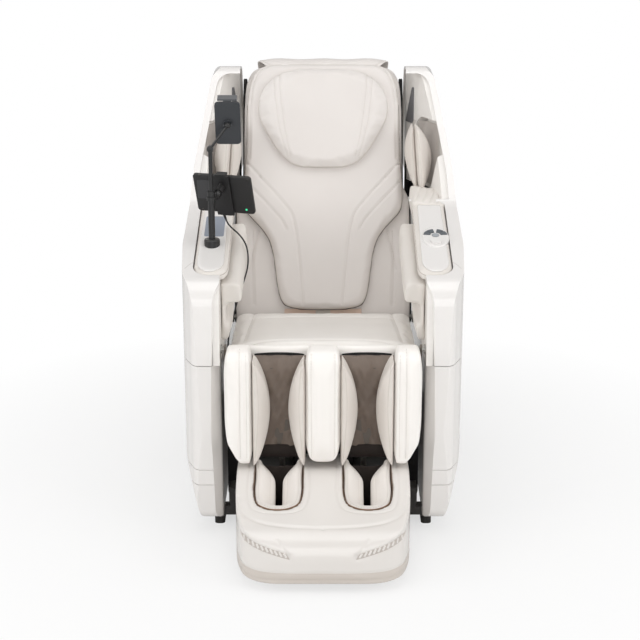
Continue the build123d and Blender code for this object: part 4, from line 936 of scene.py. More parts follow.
pad_half = [
    (0.0, 0.010), (0.06, 0.0115), (0.108, 0.021), (0.127, 0.042), (0.137, 0.08), (0.146, 0.147),
    (0.152, 0.185), (0.164, 0.222), (0.184, 0.252), (0.21, 0.28), (0.2315, 0.306), (0.238, 0.335),
    (0.238, 0.39), (0.2335, 0.45), (0.2305, 0.53), (0.228, 0.63), (0.219, 0.69), (0.199, 0.7305),
    (0.16, 0.7485), (0.1, 0.752), (0.0, 0.7525)
]
pad_core = slab(pad_half, 0.0236, 0.0573)
pad = cushion("back_pad_cover", pad_core, 0.006, 8, 0.002, 0.008, 3.5)
hold_behind(pad, on_back(0, 0, 0.0238), -out_back)
pad_lines = (
    [
        (0.186, 0.405), (0.154, 0.371), (0.121, 0.333), (0.0945, 0.298), (0.084, 0.262), (0.078, 0.229),
        (0.0677, 0.132), (0.0587, 0.028)
    ],
    [(0.228, 0.392), (0.2, 0.362), (0.17, 0.331), (0.142, 0.3), (0.122, 0.276), (0.108, 0.25)],
    [(0.228, 0.448), (0.208, 0.43), (0.186, 0.405)],
    [(0.158, 0.741), (0.186, 0.726), (0.205, 0.69), (0.213, 0.63), (0.216, 0.53), (0.218, 0.46)],
)
back_seams(pad, "pad", pad_lines, 0.09, 0.004, 0.0024)
pad_foot = girdle(pad_core, on_back(0, 0, 0.027), out_back)
bead("pad_zip_tape_painted_gap_shade", nearest_on(pad, pad_foot), 0.0026, "backrest", umber_tape_painted_gap_shade, closed=True, sunk=-0.1)
pipe_edge(
    pad, "pad_piping", pad_core, on_back(0, 0, 0.049), out_back, 0.004, 0.0015, 0.0017, "backrest",
    piping_hide
)
dress(pad, cream_hide, "backrest", stands_for="back_pad")

# ---- Heat panel ----
# A thin peach heating cloth is sewn to the underlay beneath the pad's foot, with
# a pale stitched tab in the middle.


def sheet_of(name, places, thick, turn_out=False, levels=1):
    """A sheet through rows of places, with a body of its own thickness."""
    sheet = bmesh.new()
    grid = [[sheet.verts.new(spot) for spot in row] for row in places]
    for low, high in zip(grid, grid[1:]):
        for a, b, c, d in zip(low, low[1:], high[1:], high):
            sheet.faces.new((a, b, c, d))
    if turn_out:
        bmesh.ops.recalc_face_normals(sheet, faces=sheet.faces[:])
    piece = put(name, mesh_of(name, sheet))
    alter(piece, "SOLIDIFY", thickness=thick, offset=0)
    alter(piece, "SUBSURF", levels=levels, render_levels=levels)
    apply_all(piece)
    smooth(piece)
    return piece


def panel_on(name, piece, spot, way, cols, rows, lift, thick=0.0016):
    """A panel laid on a piece: spot(u, v) gives its places, lift(u, v) how far it stands off."""
    places = []
    for j in range(rows + 1):
        laid = drop_on(piece, [spot(i / cols, j / rows) for i in range(cols + 1)], way)
        places.append([p + n * lift(i / cols, j / rows) for i, (p, n) in enumerate(laid)])
    return sheet_of(name, places, thick, turn_out=True)


peach_cloth = leather_finish(
    "peach_heating_cloth", (236, 214, 199), (228, 203, 187), 0.8, grain=1100.0, wrinkle=0.9, bump=0.4,
    sheen=0.35
)
heat_panel = panel_on(
    "heat_panel",
    underlay,
    lambda u, v: on_back(-0.114 + 0.228 * u, -0.03 + 0.047 * v, 0.06),
    -out_back,
    44, 12,
    lambda u, v: 0.0012 + 0.0022 * sin(pi * v) * (1 + 0.5 * sin(31 * u + 2 * v)),
)
dress(heat_panel, peach_cloth, "backrest")
heat_tab = panel_on(
    "heat_tab",
    heat_panel,
    lambda u, v: on_back(-0.022 + 0.044 * u, -0.026 + 0.038 * v, 0.06),
    -out_back,
    10, 8,
    lambda u, v: 0.001 + 0.001 * sin(pi * u) * sin(pi * v),
)
dress(heat_tab, piping_hide, "backrest")

# ---- Head pillow and its strap ----
# A loose pillow with piping round its edge hangs from a broad leather flap. The
# flap is thrown over the top of the backrest and fixed behind it.
pillow_half = [
    (0.0, 0.427), (0.05, 0.428), (0.09, 0.436), (0.116, 0.456), (0.143, 0.488), (0.169, 0.531), (0.19, 0.572),
    (0.1975, 0.61), (0.19, 0.649), (0.169, 0.685), (0.138, 0.711), (0.1, 0.7245), (0.05, 0.731), (0.0, 0.7325)
]
pillow_core = slab(pillow_half, 0.045, 0.0856)
pillow = cushion("head_pillow_cover", pillow_core, 0.006, 6, 0.002, 0.013, 4.0)
pillow_lines = (
    [(0.146, 0.7), (0.145, 0.68), (0.139, 0.62), (0.1312, 0.5615), (0.116, 0.5), (0.103, 0.458)],
    [(0.130, 0.708), (0.127, 0.66), (0.119, 0.59), (0.108, 0.52), (0.095, 0.462)],
)
back_seams(pillow, "pillow", pillow_lines, 0.13, 0.0035, 0.002)
pipe_edge(
    pillow, "pillow_piping", pillow_core, on_back(0, 0, 0.073), out_back, 0.005, 0.0025, 0.0021, "backrest",
    piping_hide
)
dress(pillow, cream_hide, "backrest", stands_for="head_pillow")

flap_run = [
    (0.690, 0.044), (0.715, 0.049), (0.738, 0.049), (0.757, 0.041), (0.769, 0.023), (0.7735, -0.002),
    (0.77, -0.028), (0.757, -0.046), (0.735, -0.053)
]
flap_half = [0.148, 0.153, 0.162, 0.178, 0.193, 0.199, 0.199, 0.197, 0.195]
flap_rows = []
for (up, out), half in zip(flap_run, flap_half):
    row = []
    for i in range(25):
        across = -1 + i / 12
        sag = 0.0012 * cos(3 * pi * across) - 0.004 * max(0, abs(across) - 0.82) / 0.18
        row.append(on_back(across * half, up, out) + (up_back + out_back) * sag)
    flap_rows.append(row)
flap = sheet_of("pillow_flap", flap_rows, 0.004, levels=2)
for side in (-1, 1):
    edge = walk(
        [on_back(side * (half - 0.007), up, out) for (up, out), half in zip(flap_run, flap_half)][1:-1],
        seam_pitch
    )
    laid = nearest_on(flap, [p + (up_back + out_back) * 0.004 for p in edge])
    press_seam(flap, laid, 0.002, 0.0006)
    sew(f"flap_seam_{'l' if side > 0 else 'r'}", laid, body="backrest")
dress(flap, cream_hide, "backrest")

# ---- Seat cushion and its front apron ----
# A thick foam seat in pale leather, its cover sewn across behind the front roll and
# along both sides. A padded apron hangs below the roll, above the calf rest. The
# leather is painted paler than it is, as painted light against the shade the
# housings cast on the seat.
# Leather painted paler than it is: painted light that makes up for the shade on the seat, its apron and the
# calf cushions.
seat_hide_painted_light = leather_finish("pale_seat_leather_painted_light", (250, 247, 243), (243, 239, 234), 0.36, wrinkle=0.65)

seat = foam_blank("seat_cushion_cover", cad["seat_cushion"].data, 0.008, 7, 0.002)
spots = corners(seat)
toward_front = np.clip((-0.05 - spots[:, 1]) / 0.2, 0, 1)
spots[:, 2] -= (0.02 * np.abs(spots[:, 0] / 0.258) ** 4 + 0.004) * toward_front
spots[:, 2] += 0.012 * np.clip((spots[:, 1] - 0.02) / 0.13, 0, 1) * np.clip((spots[:, 2] - 0.4) / 0.05, 0, 1)
move_corners(seat, spots)
upholster(seat, 0.012, 4.0)
hold_behind(seat, (0, -0.2655, 0), (0, -1, 0))
seat_lines = [
    [(-0.238, -0.236), (-0.15, -0.214), (0.0, -0.207), (0.15, -0.214), (0.238, -0.236)],
    [(-0.216, -0.2), (-0.211, -0.09), (-0.207, 0.02), (-0.2, 0.13)],
    [(0.216, -0.2), (0.211, -0.09), (0.207, 0.02), (0.2, 0.13)],
    [(-0.206, 0.075), (-0.1, 0.088), (0.0, 0.092), (0.1, 0.088), (0.206, 0.075)],
]
for k, run in enumerate(seat_lines):
    line = walk([(x, y, 0.6) for x, y in run], seam_pitch)
    sew_channel(seat, f"seat_seam_{k}", line, (0, 0, -1), 0.006, 0.004, "base")
dress(seat, seat_hide_painted_light, "base", stands_for="seat_cushion")


def brick(size, at):
    """A plain block of foam to start a cushion from."""
    body = bmesh.new()
    bmesh.ops.create_cube(body, size=1.0)
    for spot in body.verts:
        spot.co = Vector(at) + Vector([a * b for a, b in zip(spot.co, size)])
    return mesh_of("brick", body)


apron = cushion("seat_apron", brick((0.49, 0.014, 0.04), (0, -0.262, 0.503)), 0.005, 3, 0.0, 0.003, 2.0)
dress(apron, seat_hide_painted_light, "base")

# Black felt sheets: their black paints the shade in the gaps, slits and slots where they are laid.
black_felt_painted_gap_shade = leather_finish(
    "black_felt_painted_gap_shade", (30, 29, 30), (20, 19, 20), 0.9, grain=2600.0, wrinkle=0.8, bump=0.6, sheen=0.4
)

# ---- Calf rest ----
# Two outer cushions and a middle one stand on the calf frame, with a pair of air
# bag leaves and a loose leather lining in each channel between them. The lining's
# dark taupe is partly painted shade of the deep channels.
toward_back = Vector((0, 1, 0))
calf_board = (0, -0.3004, 0)  # a point of the board behind the calf pads
for side_name, side in sides:
    calf_cushion = cushion(
        side_name + "_calf_cushion", cad[side_name + "_calf_pad"].data, 0.006, 5, 0.002, 0.006, 3.5
    )
    for k, (x, depth) in enumerate(((0.2185, 0.005), (0.2015, 0.002))):
        line = walk(
            [(side * x, -0.4, 0.542 - 0.01 * k), (side * x, -0.4, 0.4), (side * (x + 0.001), -0.4, 0.245)],
            seam_pitch
        )
        sew_channel(calf_cushion, f"{side_name}_calf_seam_{k}", line, toward_back, 0.0045, depth, "calf_rest")
    hold_behind(calf_cushion, calf_board, toward_back)
    dress(
        calf_cushion, seat_hide_painted_light, "calf_rest", stands_for=side_name + "_calf_pad"
    )

middle_cushion = cushion("calf_middle_cushion", cad["calf_centre_pad"].data, 0.006, 6, 0.002, 0.007, 3.5)
hold_behind(middle_cushion, calf_board, toward_back)
for side in (-1, 1):
    line = walk(
        [(side * 0.031, -0.4, 0.535), (side * 0.031, -0.4, 0.4), (side * 0.030, -0.4, 0.25)], seam_pitch
    )
    sew_channel(
        middle_cushion, f"calf_middle_seam_{'l' if side > 0 else 'r'}", line, toward_back, 0.004, 0.0022,
        "calf_rest"
    )
dress(middle_cushion, seat_hide_painted_light, "calf_rest", stands_for="calf_centre_pad")

bag_hide = leather_finish("air_bag_leather", (228, 222, 216), (214, 206, 198), 0.44, grain=520.0, wrinkle=0.8)
leaf_front, leaf_rear = -0.392, -0.306
leaf_flat = (0.049, 0.185)
leaf_mid = 0.117
ridge = 0.013
rake = 1.9  # how far a leaf falls back for each step beyond its ridge
for side_name, side in sides:
    leaves = foam_blank(side_name + "_calf_air_bags", cad[side_name + "_calf_airbags"].data, 0.005, 4, 0.001)
    spots = corners(leaves)
    wide = np.abs(spots[:, 0])
    bow = np.where(wide < leaf_mid, wide - leaf_flat[0], leaf_flat[1] - wide)
    share = np.clip((leaf_rear - spots[:, 1]) / (leaf_rear - leaf_front), 0, 1)
    spots[:, 1] += rake * np.maximum(bow - ridge, 0) * share
    move_corners(leaves, spots)
    upholster(leaves, 0.003, 2.5)
    hold_behind(leaves, calf_board, toward_back)
    for k, x in enumerate((leaf_flat[0] + ridge, leaf_flat[1] - ridge)):
        lean_in = (0.008, -0.008)[k]
        ridge_line = (
            (x - lean_in, -0.38, 0.532),
            (x, -0.39, 0.44),
            (x + 0.1 * lean_in, -0.39, 0.36),
            (x - lean_in, -0.38, 0.245),
        )
        line = walk([(side * a, b, c) for a, b, c in ridge_line], weld_pitch)
        laid = drop_on(leaves, line, toward_back)
        bead(f"{side_name}_calf_bag_weld_{k}", laid, 0.0013, "calf_rest", piping_hide, sunk=0.4)
    dress(leaves, bag_hide, "calf_rest", stands_for=side_name + "_calf_airbags")

# Taupe leather, darker than the lining's own colour so that it also paints the shade in the leg channels.
taupe_hide_painted_shade = leather_finish(
    "taupe_calf_leather_painted_shade", (138, 124, 113), (98, 85, 76), 0.32, grain=600.0, wrinkle=1.0, bump=0.55, sheen=0.05
)


def moulded_sheet(name, spot, cols, rows, thick):
    """A free sheet whose place at u, v is given by spot(u, v)."""
    places = [[spot(i / cols, j / rows) for i in range(cols + 1)] for j in range(rows + 1)]
    return sheet_of(name, places, thick)


def calf_lining(side):
    def spot(u, v):
        x = 0.044 + 0.146 * u
        z = 0.236 + 0.262 * v
        edge = sin(pi * u)
        fold = 0.0028 * sin(9 * u + 5 * v) * edge + 0.0018 * sin(23 * u - 17 * v + 1.5 * sin(6 * v)) * edge
        fold += 0.0016 * sin(14 * v + 4 * u) * edge + 0.001 * sin(41 * u + 33 * v) * edge
        over = max(0.0, v - 0.86) / 0.14
        y = -0.3055 + 0.003 * edge - fold + 0.028 * over**2
        return Vector((side * x, y, z))

    return spot


for side_name, side in sides:
    lining = moulded_sheet(side_name + "_calf_lining", calf_lining(side), 44, 60, 0.0015)
    dress(lining, taupe_hide_painted_shade, "calf_rest")
    hem = walk([calf_lining(side)(u / 8, 0.035) + Vector((0, -0.001, 0)) for u in range(9)], seam_pitch)
    sew(side_name + "_calf_lining_hem", nearest_on(lining, hem), body="calf_rest")

    # A black sheet under the apron paints the shade in the slit between the apron and the lining.
    def slit_spot(u, v):
        open_by = 0.0085 * v * sin(pi * (0.08 + 0.84 * u)) ** 0.5
        return Vector((side * (0.05 + 0.135 * u), -0.2745 + 0.001 * v, 0.4965 + open_by))

    slit = moulded_sheet(side_name + "_apron_slit_painted_shade", slit_spot, 20, 2, 0.001)
    dress(slit, black_felt_painted_gap_shade, "base")

# ---- Felt seals beside the backrest ----
# Black felt strips on the sides of the back shell close the gaps to the housings,
# so that nothing falls in beside the sitter; their black paints the shade in these
# gaps. Two more are fixed in the housings, as painted shade at the wings' feet.


def felt_strip_painted_gap_shade(side):
    def spot(u, v):
        up = -0.02 + 0.75 * v
        reach = 0.266 if up < 0.34 else 0.2425 + 0.0235 * max(0.0, 1 - (up - 0.34) / 0.05)
        return on_back(side * (0.2305 + (reach - 0.2305) * u), up, -0.06 - 0.006 * sin(pi * u))

    return spot


for side_name, side in sides:
    # Black strips in the gaps beside the backrest and at the wing's foot: painted gap shade.
    seal = moulded_sheet(side_name + "_felt_seal_painted_gap_shade", felt_strip_painted_gap_shade(side), 4, 40, 0.003)
    dress(seal, black_felt_painted_gap_shade, "backrest")
    foot_felt_painted_gap_shade = moulded_sheet(
        side_name + "_wing_foot_felt",
        lambda u, v: Vector((side * (0.2455 + 0.028 * u), 0.4 + 0.004 * sin(pi * u), 0.77 + 0.13 * v)),
        4, 16, 0.003,
    )
    dress(foot_felt_painted_gap_shade, black_felt_painted_gap_shade, "base")

# ---- Arm cushions ----
# Each arm has a soft sleeve round the forearm on its inner side and a leather pad
# on top, sewn with a piped edge that runs round the front as a U; the piping is
# darker than the leather as painted shadow in its seam.
arm_slope = radians(15.0)
arm_front_y, arm_front_z = -0.29, 0.716
slope_up = Vector((0, -sin(arm_slope), cos(arm_slope)))


def arm_top(y):
    """Height of the armrest's top at a place along it."""
    return arm_front_z + (y - arm_front_y) * tan(arm_slope)


arm_hide = leather_finish("arm_leather", (228, 223, 217), (218, 212, 205), 0.36, wrinkle=0.55)
shade_line = leather_finish(
    "seam_shadow", (186, 177, 168), (170, 160, 151), 0.7, grain=1800.0, wrinkle=0.2, bump=0.2
)
for side_name, side in sides:
    sleeve = cushion(
        side_name + "_arm_cushion", cad[side_name + "_arm_sleeve"].data, 0.005, 4, 0.001, 0.005, 3.0
    )
    for k, low in enumerate((0.03, 0.132)):
        run = [(side * 0.2, y, arm_top(y) - 0.025 - low) for y in (-0.25, -0.18, -0.1, -0.02, 0.045)]
        line = walk(run, seam_pitch)
        sew_channel(sleeve, f"{side_name}_sleeve_seam_{k}", line, (side, 0, 0), 0.004, 0.0025, "base")
    dress(sleeve, arm_hide, "base", stands_for=side_name + "_arm_sleeve")

    top_pad = cushion(
        side_name + "_arm_top_pad", cad[side_name + "_armrest_cover"].data, 0.005, 3, 0.001, 0.004, 3.0
    )
    rim_at = Vector((0, -0.09, arm_top(-0.09))) - slope_up * 0.004
    arm_core = cad[side_name + "_armrest_cover"].data
    # The U-shaped piping is darker than the leather: painted shadow in its seam.
    pipe_edge(
        top_pad, side_name + "_arm_piping_painted_shadow", arm_core, rim_at, slope_up, 0.003, 0.001, 0.0016, "base",
        shade_line, sunk=0.7
    )
    dress(top_pad, arm_hide, "base", stands_for=side_name + "_armrest_cover")

    # a smooth moulded plate with a round front carries the keypad or the stand
    def plate_spot(u, v):
        y = -0.262 + 0.35 * v
        round_front = (1 - (1 - min(1.0, (v + 0.004) / 0.14)) ** 2) ** 0.5
        return Vector((side * (0.3 + (2 * u - 1) * (0.0365 - 0.004 * v) * round_front), y, 1.0))

    plate = panel_on(
        side_name + "_arm_plate", top_pad, plate_spot, (0, 0, -1), 16, 40, lambda u, v: 0.0014, thick=0.0028
    )
    dress(plate, lacquer, "base")

    heel = foam_blank(
        side_name + "_arm_heel", brick((0.094, 0.115, 0.05), (side * 0.2985, 0.148, 0.813)), 0.005, 5, 0.0
    )
    spots = corners(heel)
    spots[:, 2] += 0.2 * (spots[:, 1] - 0.148) - 0.12 * (side * spots[:, 0] - 0.2985)
    move_corners(heel, spots)
    upholster(heel, 0.004, 2.5)
    for k in range(4):
        fold = ((0.262 + 0.02 * k, 0.1), (0.275 + 0.02 * k, 0.15), (0.286 + 0.018 * k, 0.198))
        line = walk([(side * x, y, 0.9) for x, y in fold], seam_pitch)
        press_seam(heel, drop_on(heel, line, (0, 0, -1)), 0.0035, 0.003)
    dress(heel, arm_hide, "base")

# ---- Shoulder air bags ----
# Two lens-shaped bags stand one beside the other in a bay of each wing, lined with
# a greyer sheet that paints the shade in the bay; each is welded along a pale ridge
# at its front. They are fed with air from behind.


def leaf_core(flat, bow, z_low, z_high, y_front, y_rear):
    """A D-shaped core standing upright: flat at x = flat, swelling by bow, extruded along y."""
    arc = [
        (flat + bow * (sin(pi * i / 24) ** 0.8 * 0.96 + 0.04), z_low + (z_high - z_low) * i / 24)
        for i in range(25)
    ]
    ring = [(flat, z_low), *arc, (flat, z_high)]
    return prism(ring, lambda x, z: Vector((x, y_front, z)), lambda x, z: Vector((x, y_rear, z)))


# A greyer beige lining sheet that paints the shade in the bays of the wings.
bay_felt_painted_shade = leather_finish(
    "bay_lining_painted_shade", (212, 206, 201), (200, 193, 187), 0.8, grain=900.0, wrinkle=0.5, bump=0.4
)
shoulder_leaves = (
    # flat x, swell, lower and upper end, front and rear
    ("outer", 0.2675, 0.043, 0.832, 1.016, 0.232, 0.318),
    ("inner", 0.2635, -0.027, 0.832, 1.016, 0.25, 0.34),
)
for side_name, side in sides:
    for leaf_name, flat, bow, z_low, z_high, y_front, y_rear in shoulder_leaves:
        core = leaf_core(side * flat, side * bow, z_low, z_high, y_front, y_rear)
        leaf = foam_blank(f"{side_name}_shoulder_bag_{leaf_name}", core, 0.005, 4, 0.0)
        spots = corners(leaf)
        swell = (side * spots[:, 0] - flat) * np.sign(bow)
        share = np.clip((y_rear - spots[:, 1]) / (y_rear - y_front), 0, 1)
        spots[:, 1] += 1.8 * np.maximum(swell - 0.009, 0) * share
        drop = 1 - (spots[:, 2] - z_low) / (z_high - z_low)
        spots[:, 0] += side * 0.013 * drop
        spots[:, 1] -= 0.04 * drop
        move_corners(leaf, spots)
        upholster(leaf, 0.003, 2.5)
        weld = []
        for t in (0.06, 0.25, 0.5, 0.75, 0.94):
            x = flat + np.sign(bow) * 0.009 * sin(pi * t) ** 0.5 + 0.013 * (1 - t)
            weld.append((side * x, 0.1, z_low + (z_high - z_low) * t))
        bead(
            f"{leaf.name}_weld", drop_on(leaf, walk(weld, weld_pitch), toward_back), 0.0013, "base",
            piping_hide, sunk=0.4
        )
        dress(leaf, bag_hide, "base")
    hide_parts(side_name + "_shoulder_airbags")
    wall_rim, wall_foot = Vector((side * 0.344, 0.184, 0.924)), Vector((side * 0.252, 0.418, 0.924))
    along = (wall_rim - wall_foot).normalized()
    wall_mid = (wall_rim + wall_foot) / 2
    into_wall = Vector((side * 0.92, 0.38, 0))
    liner = cad[side_name + "_inner_liner"]

    def bay_spot(u, v):
        return wall_mid + along * (-0.07 + 0.122 * u) + Vector((0, 0.045, 0.085)) * (2 * v - 1)

    lining = panel_on(side_name + "_bay_lining_painted_shade", liner, bay_spot, into_wall, 12, 16, lambda u, v: 0.0012)
    dress(lining, bay_felt_painted_shade, "base")

# ---- Footrest moulding ----
# One thick gloss moulding with a well for each foot. Its nose is rounded and
# faceted, two grooves run round its skirt, and a row of slanted slats fills each
# chevron on the nose, over a darker strip that paints the shade of a recess.
well_in, well_out, well_front, well_rear = 0.052, 0.182, -0.554, -0.334
well_mid = (well_in + well_out) / 2


def foot_top(y):
    """Height of the footrest's upper face at a place along it."""
    return 0.212 if y > -0.4 else 0.212 + (y + 0.4) * (0.06 / 0.246)


def well_ring(grow, pitch=0.006):
    """Outline of a foot well, open to the rear, from its inner to its outer corner."""
    a, b, front = well_in - grow, well_out + grow, well_front - grow
    corner_points = [
        (a, well_rear, 0), (a, -0.42, 0), (a, -0.475, 0), (a + 0.009, front + 0.028, 0),
        (a + 0.034, front + 0.006, 0), (well_mid, front, 0), (b - 0.034, front + 0.006, 0),
        (b - 0.009, front + 0.028, 0), (b, -0.475, 0), (b, -0.42, 0), (b, well_rear, 0)
    ]
    return walk(corner_points, pitch)


foot_profile = walk(
    [
        (-0.268, 0.03, 0), (-0.268, 0.12, 0), (-0.2695, 0.205, 0), (-0.285, 0.212, 0), (-0.34, 0.212, 0),
        (-0.4, 0.2105, 0), (-0.5, 0.1875, 0), (-0.6, 0.1625, 0), (-0.64, 0.15, 0), (-0.664, 0.134, 0),
        (-0.6765, 0.11, 0), (-0.68, 0.08, 0), (-0.6785, 0.045, 0), (-0.674, 0.02, 0)
    ],
    0.006
)
foot_plan = both_halves(
    [
        (0.0, -0.262), (0.2, -0.262), (0.2285, -0.266), (0.2295, -0.3), (0.2295, -0.4), (0.2275, -0.49),
        (0.2205, -0.565), (0.2035, -0.625), (0.168, -0.661), (0.12, -0.6755), (0.06, -0.6795), (0.0, -0.6805)
    ]
)
foot_body = put(
    "footrest_moulding",
    prism(
        [(p.x, p.y) for p in foot_profile], lambda y, z: Vector((-0.3, y, z)),
        lambda y, z: Vector((0.3, y, z))
    ),
)


def upright(outline, floor_z):
    """A body over a plan outline, from floor_z(y) up past the footrest's top."""
    return prism(outline, lambda x, y: Vector((x, y, floor_z(y))), lambda x, y: Vector((x, y, 0.3)))


cutters = [("INTERSECT", upright(foot_plan, lambda y: 0.0))]
for side in (-1, 1):
    well = [(side * p.x, p.y) for p in well_ring(0.0)]
    well = [(well[0][0], -0.2), *well, (well[-1][0], -0.2)]
    cutters.append(("DIFFERENCE", upright(well, lambda y: 0.045 if y < -0.33 else 0.17)))
for way, shape in cutters:
    tool = put("cutter", shape)
    alter(foot_body, "BOOLEAN", operation=way, solver="EXACT", object=tool)
    apply_all(foot_body)
    bpy.data.objects.remove(tool)
reskin(foot_body, 0.0032, 6)
smooth(foot_body)


def lay_foot(line, way=(0, 0, -1)):
    return drop_on(foot_body, line, way)


for side in (-1, 1):
    # a shallow groove follows each well, a crease runs above the chevron, and the chevron is sunk
    contour = [Vector((side * p.x, p.y, 0.3)) for p in well_ring(0.0135, 0.0015)]
    press_seam(foot_body, lay_foot(contour), 0.0022, 0.0018)
    crease = [
        (side * x, y, 0.3)
        for x, y in (
            (0.221, -0.5), (0.205, -0.565), (0.165, -0.6), (0.11, -0.616), (0.05, -0.622), (0.0, -0.624)
        )
    ]
    press_seam(foot_body, lay_foot(walk(crease, weld_pitch)), 0.006, 0.0022)
    slope_line = [
        (side * x, -0.75, z) for x, z in ((0.2, 0.139), (0.16, 0.127), (0.12, 0.113), (0.085, 0.101))
    ]
    press_seam(foot_body, lay_foot(walk(slope_line, weld_pitch), toward_back), 0.009, 0.0035)
    upper_line = [(side * x, -0.75, z) for x, z in ((0.085, 0.101), (0.1, 0.121), (0.115, 0.14))]
    press_seam(foot_body, lay_foot(walk(upper_line, weld_pitch), toward_back), 0.004, 0.0018)
for z in (0.057, 0.037):
    skirt = walk([(x, y, z) for x, y in foot_plan[4:-4]], weld_pitch)
    press_seam(foot_body, nearest_on(foot_body, skirt), 0.0026, 0.0024)
pearl = moulded_finish(
    "pearl_footrest", (228, 224, 220), (222, 217, 212), 0.24, spread=0.06, grain=700.0, dust=0.05, bump=0.02,
    coat=0.5, coat_roughness=0.12
)
coat_with(foot_body, pearl)
skirt_beige = moulded_finish(
    "skirt_beige", (208, 200, 192), (200, 191, 183), 0.34, spread=0.06, grain=700.0, dust=0.08, bump=0.03,
    coat=0.3, coat_roughness=0.2
)
foot_body.data.materials.append(skirt_beige)
for face in foot_body.data.polygons:
    face.material_index = 1 if face.center.z < 0.0565 else 0
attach(foot_body, "footrest")
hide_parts("footrest_shell")

# A darker strip laid under the slats paints the shade of a recess behind them.
vent_shade = moulded_finish(
    "vent_shade", (196, 188, 181), (182, 173, 166), 0.4, spread=0.08, grain=700.0, dust=0.06, bump=0.05
)
for side_name, side in sides:
    painted_recess_shade = panel_on(
        side_name + "_vent_painted_recess_shade",
        foot_body,
        lambda u, v: Vector((side * (0.2 - 0.118 * u + 0.012 * v), -0.75, 0.127 - 0.034 * u + 0.017 * v)),
        toward_back,
        24, 4,
        lambda u, v: 0.0007,
        0.001,
    )
    dress(painted_recess_shade, vent_shade, "footrest")
    slats = bmesh.new()
    hull = hull_of(foot_body)
    for i in range(10):
        t = i / 9
        x, z = side * (0.198 - 0.103 * t), 0.1345 - 0.0305 * t
        found, face_way, _, _ = hull.ray_cast(Vector((x, -0.8, z)), toward_back)
        along = Vector((side * 0.5, 0, 0.87))
        along = (along - face_way * along.dot(face_way)).normalized()
        across = face_way.cross(along).normalized()
        corners_of = []
        for lift in (-0.001, 0.0032):
            for a, b in ((-1, -1), (1, -1), (1, 1), (-1, 1)):
                shrink = 1.0 if lift < 0 else 0.7
                corners_of.append(
                    slats.verts.new(
                        found + along * 0.0085 * a * shrink + across * 0.0034 * b * shrink + face_way * lift
                    )
                )
        for quad in ((0, 1, 2, 3), (7, 6, 5, 4), (0, 4, 5, 1), (1, 5, 6, 2), (2, 6, 7, 3), (3, 7, 4, 0)):
            slats.faces.new([corners_of[k] for k in quad])
    bmesh.ops.recalc_face_normals(slats, faces=slats.faces[:])
    bmesh.ops.bevel(slats, geom=slats.edges[:], offset=0.0005, segments=2, affect="EDGES")
    vent = put(side_name + "_vent_slats", mesh_of(side_name + "_vent_slats", slats))
    dress(vent, pearl, "footrest")

# ---- Foot wells ----
# A bronze-coloured strip lines the edge of each well. Inside it a padded leather
# boot is sewn in double rows and leaves a Y-shaped gap over the rollers, dark with
# painted shade from a dark brown cloth on the rear wall of the well.
bronze = moulded_finish(
    "bronze_edge", (150, 122, 100), (126, 100, 81), 0.34, spread=0.08, grain=500.0, dust=0.04, bump=0.03,
    metallic=0.55
)
boot_hide = leather_finish("boot_leather", (238, 233, 228), (228, 222, 216), 0.4, grain=520.0, wrinkle=0.7)
# Near-black brown cloth, dark as painted shade in the wells and at the foot of the leg channels.
dark_gap_painted_shade = leather_finish(
    "roller_gap_painted_shade_cloth", (50, 40, 35), (34, 27, 24), 0.7, grain=1400.0, wrinkle=0.6, bump=0.4
)


def gap_half(y):
    """Half width of the gap along the boot: narrow in front, open to the rear like a Y."""
    return 0.0115 + 0.034 * max(0.0, (y + 0.39) / 0.045) ** 1.5


